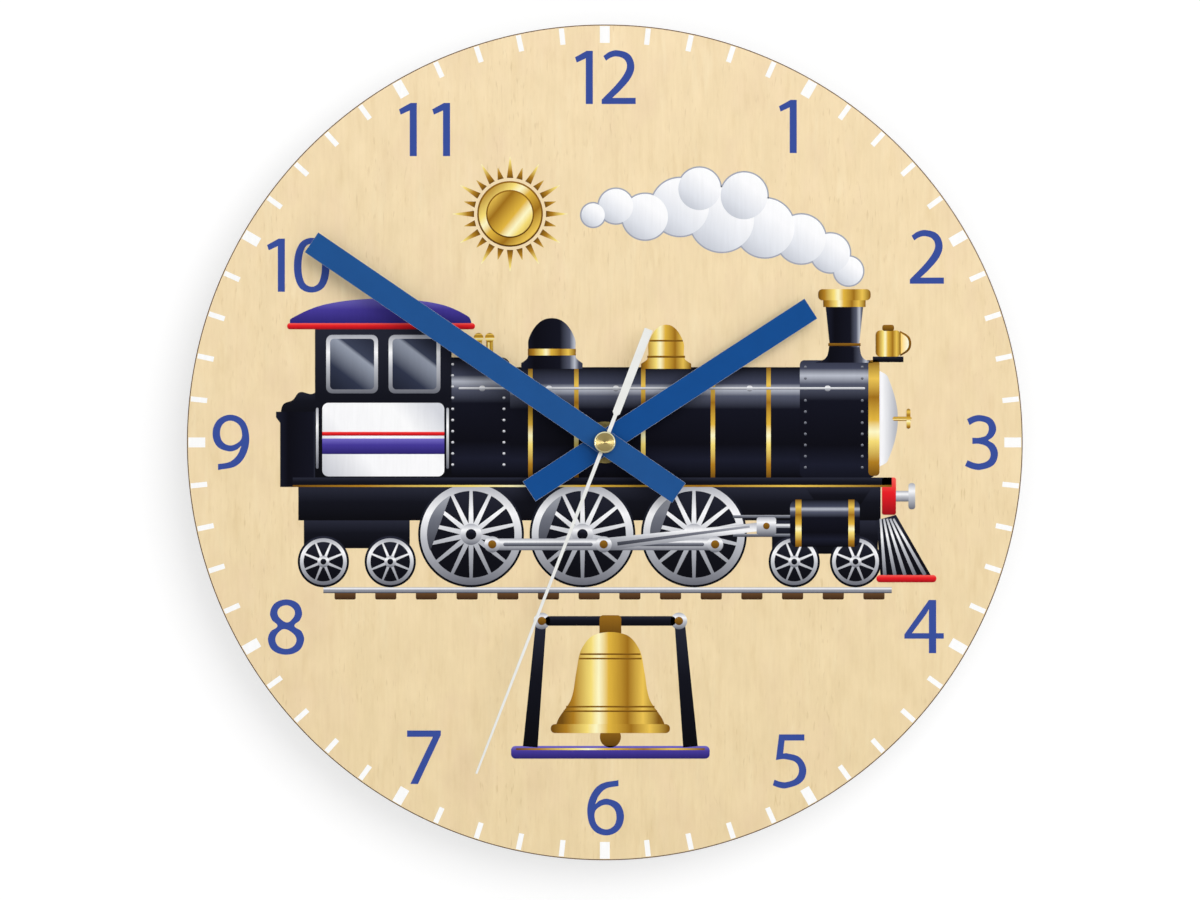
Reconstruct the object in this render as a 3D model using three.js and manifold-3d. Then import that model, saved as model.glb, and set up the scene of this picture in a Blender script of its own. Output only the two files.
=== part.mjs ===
// A children's wall clock: a plywood disc clamped to a battery quartz movement, with straight hour and
// minute hands, a slim seconds hand and a brass cap in the middle.
//
// The clock is built in the reader's frame and turned upright at the end: x runs to the right as the
// clock is read, y runs up, and z runs from the wall towards the reader. The wall is at z = 0 and the
// hands turn about the z axis. Lengths are in millimetres and angles in degrees.

import * as THREE from "three";
import { mergeVertices } from "three/addons/utils/BufferGeometryUtils.js";
import Module from "manifold-3d";

const wasm = await Module();
wasm.setup();

// Clearances
const seatGap = 0.05; // between faces that are clamped or rest on each other
const pressGap = 0.05; // round a piece that is pressed or clipped in place
const pivotGap = 0.08; // round a pivot in its hole
const runningGap = 0.1; // between tubes that turn in each other
const endGap = 0.3; // along the axis, between pieces that turn past each other
const wheelGap = 0.75; // along the axis, between one wheel and the next
const sideGap = 0.7; // between a wheel's tip and what stands beside it
const overrun = 1; // how far a cutting solid runs past the face that it cuts

// Dial board
const dialRadius = 150;
const boardThickness = 4;
const boardHoleGap = 0.35;

// Stack that clamps the board to the movement
const gasketRadius = 9.5;
const gasketThickness = 1;
const washerRadius = 7.5;
const washerThickness = 0.6;
const nutAcrossFlats = 11;
const nutThickness = 2.2;
const nutChamfer = 0.5;
const bushWall = 1.3;
const bushFlangeWidth = 1.6;
const bushFlangeThickness = 0.6;
const bushProud = 0.9;

// Hands, as reach and tail from the middle of the dial
const handThickness = 0.7;
const hourHandWidth = 8.5;
const hourHandReach = 88;
const hourHandTail = 32.3;
const hourHandAngle = 57;
const minuteHandWidth = 8.6;
const minuteHandReach = 127;
const minuteHandTail = 32.1;
const minuteHandAngle = 304.3;
const colletFlangeThickness = 0.7;
const colletFlangeWidth = 1.7;
const colletWall = 0.8;
const tubeProud = 0.5;
const secondsHandThickness = 0.4;
const secondsHandReach = 127;
const secondsHandTipWidth = 0.75;
const secondsHandHubWidth = 1.4;
const secondsHandHubRadius = 2.6;
const secondsHandAngle = 201.2;
const paddleStart = 10.5;
const paddleShoulder = 0.8;
const paddleReach = 43.4;
const paddleRootWidth = 2.8;
const paddleEndWidth = 3.05;
const capRadius = 3.95;
const capThickness = 1.9;
const capChamfer = 0.45;
const capSkin = 0.7;
const spigotWall = 0.5;
const spigotLength = 0.9;

// Arbors and tubes on the middle axis, from the inside out
const arborRadius = 0.45;
const cannonBoreGap = 0.1;
const cannonNeckWall = 0.8;
const minuteTubeWall = 1.1;
const hourTubeWall = 0.8;

// Wheels: thickness, centre distances and numbers of teeth
const wheelThickness = 0.9;
const pinionOverhang = 0.25;
const trainDistance = 10.8;
const rotorDistance = 8.4;
const motionDistance = 8.4;
const thirdAngle = 165;
const fifthAngle = 0;
const rotorAngle = 70;
const minuteWheelAngle = 110;
const rotorPinionTeeth = 8;
const fifthWheelTeeth = 48;
const fifthPinionTeeth = 8;
const secondsWheelTeeth = 40;
const secondsPinionTeeth = 8;
const thirdWheelTeeth = 60;
const thirdPinionTeeth = 8;
const centreWheelTeeth = 64;
const cannonPinionTeeth = 12;
const minuteWheelTeeth = 36;
const minutePinionTeeth = 10;
const hourWheelTeeth = 40;
const settingPinionTeeth = 12;
const toothShares = { addendum: 0.8, rootClearance: 0.35, width: 0.42, tip: 0.55, root: 1.3 };
const arborBodyRadius = 0.6;
const pivotRadius = 0.4;
const pivotLength = 0.9;
const bossWall = 0.75;
const bossLength = 0.9;
const minutePostRadius = 0.8;

// Rotor, stator and coil
const magnetRadius = 2.8;
const magnetHeight = 2.4;
const magnetBoreRadius = 1.1;
const rotorAirGap = 0.5;
const statorThickness = 0.8;
const statorRingWidth = 1.6;
const statorLimbWidth = 4.4;
const statorLimbOffset = 0.83;
const statorTabWidth = 4;
const coreWidth = 2;
const coreInset = 1.4;
const coilRadius = 2.9;
const bobbinTubeRadius = 1.6;
const bobbinFlangeRadius = 3.3;
const bobbinFlangeThickness = 0.8;
const bobbinSpan = 17.2;
const bobbinRise = 7.3;

// Circuit board
const circuitThickness = 1;
const circuitHeight = 8;
const circuitTopGap = 1.1;
const circuitEndGap = 1.1;
const circuitRise = 0.8;
const chipOffset = 8;
const chipRadius = 3.4;
const chipHeight = 1.3;
const crystalRadius = 1;
const crystalLength = 6;
const crystalOffset = 14;
const pegRadius = 1.2;
const pegPinRadius = 0.6;
const pegInset = 5.2;

// Battery and its contacts
const batteryRadius = 7.25;
const batteryLength = 50.5;
const batteryNubRadius = 2.75;
const batteryNubLength = 1.3;
const batteryEdge = 0.6;
const bayGap = 0.3;
const bayFloor = 1;
const bayBackGap = 0.3;
const contactRoom = 2.05;
const contactThickness = 0.4;
const contactWidth = 6;
const contactLegHeight = 2.4;
const contactFootLength = 2.5;

// Movement case and cover
const caseWall = 1.2;
const frontWall = 1.8;
const partitionThickness = 1;
const caseCorner = 4;
const coverThickness = 1.6;
const coverGap = 0.15;
const ledgeWidth = 0.8;
const ledgeHeight = 2;
const lugLength = 3;
const lugDepth = 0.45;
const lugHeight = 0.8;
const lugOffset = 14;
const trainPlateThickness = 1.2;
const trainPlateGap = 0.5;
const postRadius = 1.5;
const postPinRadius = 0.8;
const plateMargin = 0.9;

// Setting knob
const knobRadius = 5;
const knobThickness = 2;
const knobGrips = 20;
const knobGripDepth = 0.35;
const knobRecess = 0.2;
const knobSideGap = 0.6;
const knobWellWall = 1;
const knobWellFloor = 1;
const knobUnderGap = 0.4;
const knobStemRadius = 1.2;

// Hanger on the back of the case
const hangerThickness = 2.4;
const hangerRadius = 10;
const nailHeadRadius = 4.8;
const nailSlotRadius = 2.6;
const nailSlotLength = 5.2;
const nailHeadRise = 6.6;
const hangerRibLength = 5;
const hangerRibThickness = 1.2;

// Numbers of flat sides on round pieces
const dialSides = 128;
const roundSides = 32;
const pivotSides = 12;
const arcSides = 6;

// Colours
const finish = {
  plywood: { color: 0xf0d9ad, roughness: 0.55, metalness: 0 },
  brass: { color: 0xc9a94e, roughness: 0.3, metalness: 1 },
  steel: { color: 0xb9bcc0, roughness: 0.35, metalness: 1 },
  rubber: { color: 0x1b1b1b, roughness: 0.9, metalness: 0 },
  blackPlastic: { color: 0x17181a, roughness: 0.5, metalness: 0 },
  whitePlastic: { color: 0xe9e8e2, roughness: 0.45, metalness: 0 },
  blueHand: { color: 0x1b57a0, roughness: 0.45, metalness: 0.1 },
  whiteHand: { color: 0xf2f2ee, roughness: 0.4, metalness: 0 },
  copper: { color: 0xb5653a, roughness: 0.4, metalness: 1 },
  magnet: { color: 0x4a4c50, roughness: 0.5, metalness: 0.6 },
  laminate: { color: 0x6a4b24, roughness: 0.6, metalness: 0 },
  epoxy: { color: 0x0d0d0f, roughness: 0.25, metalness: 0 },
  sleeve: { color: 0x2b2d33, roughness: 0.35, metalness: 0.2 },
};

// Points and outlines, in the plane of the dial

const radians = THREE.MathUtils.degToRad;

function polar([x, y], angle, distance) {
  return [x + distance * Math.cos(radians(angle)), y + distance * Math.sin(radians(angle))];
}

function circle(radius, [x, y] = [0, 0], sides = roundSides) {
  const points = [];
  for (let i = 0; i < sides; i++) {
    points.push(new THREE.Vector2(...polar([x, y], (360 * i) / sides, radius)));
  }
  return points;
}

function rectangle(left, bottom, right, top) {
  return [
    new THREE.Vector2(left, bottom),
    new THREE.Vector2(right, bottom),
    new THREE.Vector2(right, top),
    new THREE.Vector2(left, top),
  ];
}

function roundedRectangle(left, bottom, right, top, corner) {
  const centres = [
    [right - corner, top - corner],
    [left + corner, top - corner],
    [left + corner, bottom + corner],
    [right - corner, bottom + corner],
  ];
  return centres.flatMap((centre, quarter) => arc(centre, corner, 90 * quarter, 90 * quarter + 90));
}

function arc(centre, radius, from, to, sides = arcSides) {
  const points = [];
  for (let i = 0; i <= sides; i++) {
    points.push(new THREE.Vector2(...polar(centre, from + ((to - from) * i) / sides, radius)));
  }
  return points;
}

// The outline of a band stretched round several circles, each given as [centre, radius].
function band(circles) {
  const points = circles.flatMap(([centre, radius]) => circle(radius, centre));
  points.sort((a, b) => a.x - b.x || a.y - b.y);
  const turn = (a, b, c) => (b.x - a.x) * (c.y - a.y) - (b.y - a.y) * (c.x - a.x);
  const chain = (list) => {
    const kept = [];
    for (const point of list) {
      while (kept.length > 1 && turn(kept.at(-2), kept.at(-1), point) <= 0) kept.pop();
      kept.push(point);
    }
    return kept.slice(0, -1);
  };
  return [...chain(points), ...chain(points.reverse())];
}

// The outline of a bent strip of even thickness that follows a line of points.
function strip(line, thickness) {
  const points = line.map(([x, y]) => new THREE.Vector2(x, y));
  const normals = points.slice(1).map((point, i) => {
    const along = point.clone().sub(points[i]).normalize();
    return new THREE.Vector2(-along.y, along.x);
  });
  const side = (sign) =>
    points.map((point, i) => {
      const before = normals[Math.max(i - 1, 0)];
      const after = normals[Math.min(i, normals.length - 1)];
      const mitre = before.clone().add(after).divideScalar(1 + before.dot(after));
      return point.clone().addScaledVector(mitre, (sign * thickness) / 2);
    });
  return [...side(-1), ...side(1).reverse()];
}

// Gears

function tipRadius(teeth, toothModule) {
  return toothModule * (teeth / 2 + toothShares.addendum);
}

function rootRadius(teeth, toothModule) {
  return toothModule * (teeth / 2 - toothShares.addendum - toothShares.rootClearance);
}

// Straight-sided teeth, with the middle of the first one at the angle called phase.
function gear(teeth, toothModule, phase) {
  const pitch = 360 / teeth;
  const half = (pitch * toothShares.width) / 2;
  const tip = tipRadius(teeth, toothModule);
  const root = rootRadius(teeth, toothModule);
  const points = [];
  for (let i = 0; i < teeth; i++) {
    const middle = phase + i * pitch;
    points.push(new THREE.Vector2(...polar([0, 0], middle - half * toothShares.root, root)));
    points.push(new THREE.Vector2(...polar([0, 0], middle - half * toothShares.tip, tip)));
    points.push(new THREE.Vector2(...polar([0, 0], middle + half * toothShares.tip, tip)));
    points.push(new THREE.Vector2(...polar([0, 0], middle + half * toothShares.root, root)));
  }
  return points;
}

// The phase that puts a gear in mesh with its neighbour, which lies in the opposite direction.
function meshPhase(teeth, neighbourTeeth, neighbourPhase, direction) {
  const neighbourShare = (direction - neighbourPhase) / (360 / neighbourTeeth);
  return direction + 180 - (360 / teeth) * (0.5 - neighbourShare);
}

// Solids

const weldDistance = 1e-4;

// Triangles with no area, such as those on the axis of a turned piece, are left out.
function solidOf(geometry) {
  const bare = new THREE.BufferGeometry();
  bare.setAttribute("position", geometry.getAttribute("position"));
  bare.setIndex(geometry.index);
  const merged = mergeVertices(bare, weldDistance);
  const corners = merged.index.array;
  const kept = [];
  for (let i = 0; i < corners.length; i += 3) {
    const [a, b, c] = corners.slice(i, i + 3);
    if (a !== b && b !== c && a !== c) kept.push(a, b, c);
  }
  return new wasm.Manifold(
    new wasm.Mesh({
      numProp: 3,
      vertProperties: merged.attributes.position.array,
      triVerts: Uint32Array.from(kept),
    }),
  );
}

// An outline with holes, given its depth from back to front.
function prism(outline, back, front, holes = []) {
  const shape = new THREE.Shape(outline);
  shape.holes = holes.map((hole) => new THREE.Path(hole));
  const geometry = new THREE.ExtrudeGeometry(shape, { depth: front - back, bevelEnabled: false });
  return solidOf(geometry.translate(0, 0, back));
}

// An outline drawn in x and z, given its width from bottom to top along y.
function uprightPrism(outline, bottom, top) {
  const geometry = new THREE.ExtrudeGeometry(new THREE.Shape(outline), {
    depth: top - bottom,
    bevelEnabled: false,
  });
  return solidOf(geometry.rotateX(Math.PI / 2).translate(0, top, 0));
}

// An outline drawn in z and y, given its width from left to right along x.
function crossPrism(outline, left, right) {
  const geometry = new THREE.ExtrudeGeometry(new THREE.Shape(outline), {
    depth: right - left,
    bevelEnabled: false,
  });
  return solidOf(geometry.rotateY(-Math.PI / 2).translate(right, 0, 0));
}

function block(left, bottom, right, top, back, front) {
  return prism(rectangle(left, bottom, right, top), back, front);
}

function rod(radius, back, front, centre = [0, 0], sides = roundSides) {
  return prism(circle(radius, centre, sides), back, front);
}

function tube(radius, boreRadius, back, front, sides = roundSides) {
  return prism(circle(radius, [0, 0], sides), back, front, [circle(boreRadius, [0, 0], sides)]);
}

// A piece turned about the z axis, from a profile of [radius, z] points that runs up its outside.
function turned(profile, sides = roundSides) {
  const points = profile.map(([radius, z]) => new THREE.Vector2(radius, z));
  return solidOf(new THREE.LatheGeometry(points, sides).rotateX(Math.PI / 2));
}

function join(...solids) {
  return solids.reduce((whole, solid) => whole.add(solid));
}

function cut(whole, ...tools) {
  return tools.reduce((left, tool) => left.subtract(tool), whole);
}

const clock = new THREE.Group();

function add(name, material, solid, [x, y] = [0, 0], clockAngle = 0) {
  const { vertProperties, triVerts } = solid.getMesh();
  const indexed = new THREE.BufferGeometry();
  indexed.setAttribute("position", new THREE.BufferAttribute(vertProperties, 3));
  indexed.setIndex(new THREE.BufferAttribute(triVerts, 1));
  const geometry = indexed.toNonIndexed();
  geometry.computeVertexNormals();
  const mesh = new THREE.Mesh(geometry, new THREE.MeshStandardMaterial(material));
  mesh.name = name;
  mesh.position.set(x, y, 0);
  mesh.rotation.z = -radians(clockAngle);
  clock.add(mesh);
}

// Radii on the middle axis

const cannonBoreRadius = arborRadius + cannonBoreGap;
const cannonNeckRadius = cannonBoreRadius + cannonNeckWall;
const minuteTubeRadius = cannonBoreRadius + minuteTubeWall;
const hourBoreRadius = minuteTubeRadius + runningGap;
const hourTubeRadius = hourBoreRadius + hourTubeWall;
const bushBoreRadius = hourTubeRadius + runningGap;
const bushRadius = bushBoreRadius + bushWall;
const bushFlangeRadius = bushRadius + bushFlangeWidth;

// Tooth modules, which make each pair of gears fill its centre distance

const rotorModule = (2 * rotorDistance) / (rotorPinionTeeth + fifthWheelTeeth);
const fifthModule = (2 * trainDistance) / (fifthPinionTeeth + secondsWheelTeeth);
const secondsModule = (2 * trainDistance) / (secondsPinionTeeth + thirdWheelTeeth);
const thirdModule = (2 * trainDistance) / (thirdPinionTeeth + centreWheelTeeth);
const cannonModule = (2 * motionDistance) / (cannonPinionTeeth + minuteWheelTeeth);
const minuteModule = (2 * motionDistance) / (minutePinionTeeth + hourWheelTeeth);

// Where the arbors stand

const centre = [0, 0];
const third = polar(centre, thirdAngle, trainDistance);
const fifth = polar(centre, fifthAngle, trainDistance);
const rotor = polar(fifth, rotorAngle, rotorDistance);
const minutePost = polar(centre, minuteWheelAngle, motionDistance);
const settingDistance = (cannonModule * (minuteWheelTeeth + settingPinionTeeth)) / 2;
const settingAngle = 180 - minuteWheelAngle;
const setting = polar(minutePost, settingAngle, settingDistance);

// Depths, from the wall to the front of the case

const plateBack = coverThickness + trainPlateGap;
const plateFront = plateBack + trainPlateThickness;
const fifthBack = plateFront + wheelGap;
const fifthFront = fifthBack + wheelThickness;
const secondsBack = fifthFront + wheelGap;
const secondsFront = secondsBack + wheelThickness;
const thirdBack = secondsFront + wheelGap;
const thirdFront = thirdBack + wheelThickness;
const centreBack = thirdFront + wheelGap;
const centreFront = centreBack + wheelThickness;
const minuteWheelBack = centreFront + wheelGap;
const minuteWheelFront = minuteWheelBack + wheelThickness;
const hourWheelBack = minuteWheelFront + wheelGap;
const hourWheelFront = hourWheelBack + wheelThickness;
const trainDepth = hourWheelFront + endGap + bushFlangeThickness + seatGap + frontWall;
const batteryDepth = bayBackGap + 2 * batteryRadius + bayGap / 2 + bayFloor;
const caseDepth = Math.max(trainDepth, batteryDepth);
const caseInnerFront = caseDepth - frontWall;

// Case outline: the battery lies under the wheels, and the arbor stands in the middle of the case.
// The case is as wide as the battery or the motor needs.

const statorRingRadius = magnetRadius + rotorAirGap + statorRingWidth;
const centreWheelTip = tipRadius(centreWheelTeeth, thirdModule);
const secondsWheelTip = tipRadius(secondsWheelTeeth, fifthModule);
const partitionTop = -(Math.max(centreWheelTip, secondsWheelTip) + 2 * sideGap);
const partitionBottom = partitionTop - partitionThickness;
const bayBottom = partitionBottom - 2 * batteryRadius - 2 * bayGap;
const caseHalfHeight = caseWall - bayBottom;
const innerTop = caseHalfHeight - caseWall;
const batteryHalfWidth = batteryLength / 2 + contactRoom;
const motorHalfWidth =
  rotor[0] + statorRingRadius + 2 * bobbinFlangeRadius + contactThickness + 2 * sideGap + 2 * seatGap;
const innerHalfWidth = Math.max(batteryHalfWidth, motorHalfWidth);
const caseHalfWidth = innerHalfWidth + caseWall;
const innerCorner = caseCorner - caseWall;
const coverSeat = coverThickness + seatGap;
const contactOuter = innerHalfWidth - seatGap;
const contactInner = contactOuter - contactThickness;

// Setting knob's well

const wellRadius = knobRadius + knobSideGap;
const wellOuterRadius = wellRadius + knobWellWall;
const wellDepth = knobRecess + knobThickness + knobUnderGap;
const wellFront = wellDepth + knobWellFloor;

// Stator and coil

const statorMiddle = (thirdFront + centreBack) / 2;
const statorBack = statorMiddle - statorThickness / 2;
const statorFront = statorMiddle + statorThickness / 2;
const limbX = rotor[0] + statorLimbOffset;
const bobbinTop = bobbinRise + bobbinSpan / 2;
const bobbinBottom = bobbinRise - bobbinSpan / 2;
const tabGap = bobbinFlangeThickness;
const tabTop = bobbinTop + tabGap + statorTabWidth;
const tabBottom = bobbinBottom - tabGap - statorTabWidth;
const coilX = contactInner - sideGap - bobbinFlangeRadius;
const tabRight = coilX + coreWidth / 2 + coreInset;
const coreBack = statorFront + seatGap;
const coreFront = coreBack + statorThickness;
const coilZ = (coreBack + coreFront) / 2;
const statorPegs = [
  [limbX, tabTop - statorTabWidth / 2],
  [limbX, tabBottom + statorTabWidth / 2],
];

// Posts that carry the train plate, set just clear of what turns beside them

const thirdWheelTip = tipRadius(thirdWheelTeeth, secondsModule);
const fifthWheelTip = tipRadius(fifthWheelTeeth, rotorModule);
const posts = [
  { beside: third, angle: -115, swing: thirdWheelTip },
  { beside: third, angle: 158, swing: thirdWheelTip },
  { beside: fifth, angle: -60, swing: fifthWheelTip },
  { beside: rotor, angle: 137, swing: statorRingRadius },
].map(({ beside, angle, swing }) => polar(beside, angle, swing + sideGap + postRadius));

// Circuit board

const circuitBack = wellFront + circuitRise;
const circuitFront = circuitBack + circuitThickness;
const circuitTop = innerTop - circuitTopGap;
const circuitBottom = circuitTop - circuitHeight;
const circuitHalfWidth = innerHalfWidth - circuitEndGap;
const circuitMiddle = (circuitTop + circuitBottom) / 2;
const circuitPegs = [-1, 1].map((side) => [side * (circuitHalfWidth - pegInset), circuitMiddle]);

// Battery and contacts

const batteryY = partitionBottom - bayGap - batteryRadius;
const batteryZ = caseDepth - bayFloor - bayGap / 2 - batteryRadius;
const batteryRight = contactInner - pressGap;
const batteryLeft = batteryRight - batteryLength;
const legBack = circuitFront + pressGap;
const legFront = legBack + contactLegHeight;

// Depths of the clamp stack and the hands

const gasketBack = caseDepth + seatGap;
const boardBack = gasketBack + gasketThickness + seatGap;
const boardFront = boardBack + boardThickness;
const washerBack = boardFront + seatGap;
const nutBack = washerBack + washerThickness + seatGap;
const nutFront = nutBack + nutThickness;
const bushFront = nutFront + bushProud;
const hourHandBack = bushFront + endGap + colletFlangeThickness;
const hourHandFront = hourHandBack + handThickness;
const hourTubeFront = hourHandFront + tubeProud;
const minuteHandBack = hourTubeFront + endGap + colletFlangeThickness;
const minuteHandFront = minuteHandBack + handThickness;
const minuteTubeFront = minuteHandFront + tubeProud;
const spigotBack = minuteTubeFront + endGap;
const secondsHandBack = spigotBack + spigotLength;
const secondsHandFront = secondsHandBack + secondsHandThickness;
const capBack = secondsHandFront + seatGap;
const capFront = capBack + capThickness;
const arborFront = capFront - capSkin - pressGap;

function dialAndClamp() {
  const boltHole = circle(bushRadius + boardHoleGap);
  const disc = circle(dialRadius, centre, dialSides);
  add("dial_board", finish.plywood, prism(disc, boardBack, boardFront, [boltHole]));
  const looseBore = bushRadius + coverGap;
  const gasketFront = gasketBack + gasketThickness;
  add("rubber_gasket", finish.rubber, tube(gasketRadius, looseBore, gasketBack, gasketFront));
  add("brass_washer", finish.brass, tube(washerRadius, looseBore, washerBack, washerBack + washerThickness));
  add("hex_nut", finish.brass, hexNut());
  add("threaded_bush", finish.brass, threadedBush());
}

// Two flats lie level, and both faces are chamfered down to the flats.
function hexNut() {
  const cornerRadius = nutAcrossFlats / Math.sqrt(3);
  const hexagon = circle(cornerRadius, centre, 6);
  const blank = prism(hexagon, nutBack, nutFront);
  const flatRadius = nutAcrossFlats / 2;
  const rounded = turned([
    [0, nutBack],
    [flatRadius, nutBack],
    [cornerRadius + nutChamfer, nutBack + nutChamfer],
    [cornerRadius + nutChamfer, nutFront - nutChamfer],
    [flatRadius, nutFront],
    [0, nutFront],
  ]);
  return cut(blank.intersect(rounded), rod(bushRadius + pressGap, nutBack - overrun, nutFront + overrun));
}

function threadedBush() {
  const flangeBack = caseInnerFront - seatGap - bushFlangeThickness;
  return turned([
    [bushBoreRadius, flangeBack],
    [bushFlangeRadius, flangeBack],
    [bushFlangeRadius, flangeBack + bushFlangeThickness],
    [bushRadius, flangeBack + bushFlangeThickness],
    [bushRadius, bushFront],
    [bushBoreRadius, bushFront],
    [bushBoreRadius, flangeBack],
  ]);
}

// Case

function frontCase() {
  const box = prism(
    roundedRectangle(-caseHalfWidth, -caseHalfHeight, caseHalfWidth, caseHalfHeight, caseCorner),
    0,
    caseDepth,
  );
  const shell = cut(box, trainCavity(), batteryBay(), coverPocket(), ...contactNotches(), ...lugPockets());
  const whole = join(shell, ...caseFurniture(), hanger());
  const bushHole = rod(bushRadius + pressGap, caseInnerFront - overrun, caseDepth + overrun);
  return cut(whole, bushHole, ...pivotSockets());
}

function trainCavity() {
  const deep = prism(
    rectangle(-innerHalfWidth, partitionTop, innerHalfWidth, innerTop),
    coverSeat + ledgeHeight,
    caseInnerFront,
  );
  const narrowHalfWidth = innerHalfWidth - ledgeWidth;
  const narrow = prism(
    rectangle(-narrowHalfWidth, partitionTop, narrowHalfWidth, innerTop - ledgeWidth),
    coverThickness,
    caseInnerFront,
  );
  return join(deep, narrow);
}

function batteryBay() {
  return prism(
    rectangle(-innerHalfWidth, bayBottom, innerHalfWidth, partitionBottom),
    -overrun,
    caseDepth - bayFloor,
  );
}

function coverPocket() {
  return prism(coverOutline(0), -overrun, coverSeat);
}

// The cover's outline, drawn in by a gap. Its lower edge lies flush with the battery bay.
function coverOutline(gap) {
  const right = innerHalfWidth - gap;
  const top = innerTop - gap;
  return [
    new THREE.Vector2(-right, partitionBottom),
    new THREE.Vector2(right, partitionBottom),
    ...arc([right - innerCorner, top - innerCorner], innerCorner, 0, 90),
    ...arc([-right + innerCorner, top - innerCorner], innerCorner, 90, 180),
  ];
}

function contactNotches() {
  const depth = contactThickness + 2 * pivotGap;
  return [-1, 1].map((side) => {
    const [left, right] = [side * (innerHalfWidth - depth), side * innerHalfWidth].sort((a, b) => a - b);
    const [back, front] = [legBack - pivotGap, legFront + pivotGap];
    return block(left, partitionBottom - overrun, right, partitionTop + overrun, back, front);
  });
}

// Four snap lugs hold the cover, two on each side.
function lugBlocks(gap) {
  const back = (coverThickness - lugHeight) / 2;
  return [-1, 1].flatMap((side) =>
    [0, lugOffset].map((y) => {
      const outer = side * (innerHalfWidth + lugDepth - coverGap + gap);
      const inner = side * (innerHalfWidth - coverGap - lugDepth);
      const [left, right] = [inner, outer].sort((a, b) => a - b);
      const [low, high] = [y - lugLength / 2 - gap, y + lugLength / 2 + gap];
      return block(left, low, right, high, back - gap, back + lugHeight + gap);
    }),
  );
}

function lugPockets() {
  return lugBlocks(pivotGap);
}

// Posts, pegs and bosses that stand on the inside of the front wall.
function caseFurniture() {
  const root = caseInnerFront + seatGap;
  const furniture = [];
  for (const post of posts) {
    furniture.push(rod(postRadius, plateFront + seatGap, root, post, pivotSides));
    furniture.push(rod(postPinRadius, plateBack - runningGap, root, post, pivotSides));
  }
  for (const peg of circuitPegs) {
    furniture.push(rod(pegRadius, circuitFront + seatGap, root, peg, pivotSides));
    furniture.push(rod(pegPinRadius, circuitBack - runningGap, root, peg, pivotSides));
  }
  for (const peg of statorPegs) {
    furniture.push(rod(pegRadius, statorFront + seatGap, root, peg, pivotSides));
    furniture.push(rod(pegPinRadius, statorBack - runningGap, root, peg, pivotSides));
  }
  for (const arbor of [third, fifth, rotor]) {
    furniture.push(rod(pivotRadius + bossWall, caseInnerFront - bossLength, root, arbor, pivotSides));
  }
  furniture.push(rod(knobStemRadius + bossWall, caseInnerFront - bossLength, root, setting, pivotSides));
  furniture.push(rod(minutePostRadius, minuteWheelBack - pinionOverhang, root, minutePost, pivotSides));
  return furniture;
}

function pivotSockets() {
  const back = caseInnerFront - bossLength - overrun;
  const front = caseInnerFront + pivotGap;
  const sockets = [third, fifth, rotor].map((arbor) =>
    rod(pivotRadius + pivotGap, back, front, arbor, pivotSides),
  );
  sockets.push(rod(knobStemRadius + pivotGap, back, front, setting, pivotSides));
  return sockets;
}

const nailHeadY = caseHalfHeight + nailHeadRise;
const nailSeatY = nailHeadY + nailSlotLength;

// A tongue on the top of the case with a keyhole: the nail's head goes in at the bottom of it.
function hanger() {
  const tongue = prism(
    band([
      [[0, nailHeadY], hangerRadius],
      [[hangerRadius / 2, caseHalfHeight - caseWall], hangerRadius / 2],
      [[-hangerRadius / 2, caseHalfHeight - caseWall], hangerRadius / 2],
    ]),
    0,
    hangerThickness,
  );
  const aboveCase = block(
    -caseHalfWidth,
    caseHalfHeight - caseWall / 2,
    caseHalfWidth,
    caseHalfHeight + 3 * hangerRadius,
    -overrun,
    caseDepth,
  );
  const keyhole = join(
    rod(nailHeadRadius, -overrun, hangerThickness + overrun, [0, nailHeadY]),
    rod(nailSlotRadius, -overrun, hangerThickness + overrun, [0, nailSeatY]),
    block(-nailSlotRadius, nailHeadY, nailSlotRadius, nailSeatY, -overrun, hangerThickness + overrun),
  );
  const ribs = [-1, 1].map((side) => {
    const x = side * (hangerRadius - hangerRibThickness);
    const foot = caseHalfHeight - caseWall / 2;
    const outline = [
      new THREE.Vector2(hangerThickness / 2, foot),
      new THREE.Vector2(hangerThickness + hangerRibLength, foot),
      new THREE.Vector2(hangerThickness / 2, caseHalfHeight + hangerRibLength),
    ];
    return crossPrism(outline, x - hangerRibThickness / 2, x + hangerRibThickness / 2);
  });
  return cut(join(tongue.intersect(aboveCase), ...ribs), keyhole);
}

function backCover() {
  const plate = prism(coverOutline(coverGap), 0, coverThickness);
  const well = rod(wellOuterRadius, 0, wellFront, setting);
  const cover = join(plate, well, ...lugBlocks(0));
  return cut(
    cover,
    rod(wellRadius, -overrun, wellDepth, setting),
    rod(knobStemRadius + pivotGap, -overrun, wellFront + overrun, setting, pivotSides),
  );
}

function trainPlate() {
  const outline = band([
    ...posts.map((post) => [post, postPinRadius + plateMargin]),
    ...[third, fifth, rotor].map((arbor) => [arbor, pivotRadius + bossWall]),
  ]);
  const holes = [
    ...posts.map((post) => circle(postPinRadius + pivotGap, post, pivotSides)),
    ...[third, fifth, rotor].map((arbor) => circle(pivotRadius + pivotGap, arbor, pivotSides)),
    circle(arborRadius + pivotGap, centre, pivotSides),
  ];
  const wellRoom = rod(wellOuterRadius + endGap, plateBack - overrun, plateFront + overrun, setting);
  return cut(prism(outline, plateBack, plateFront, holes), wellRoom);
}

function movementCase() {
  add("movement_front_case", finish.blackPlastic, frontCase());
  add("movement_back_cover", finish.blackPlastic, backCover());
  add("train_plate", finish.whitePlastic, trainPlate());
}

// Wheels

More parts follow.
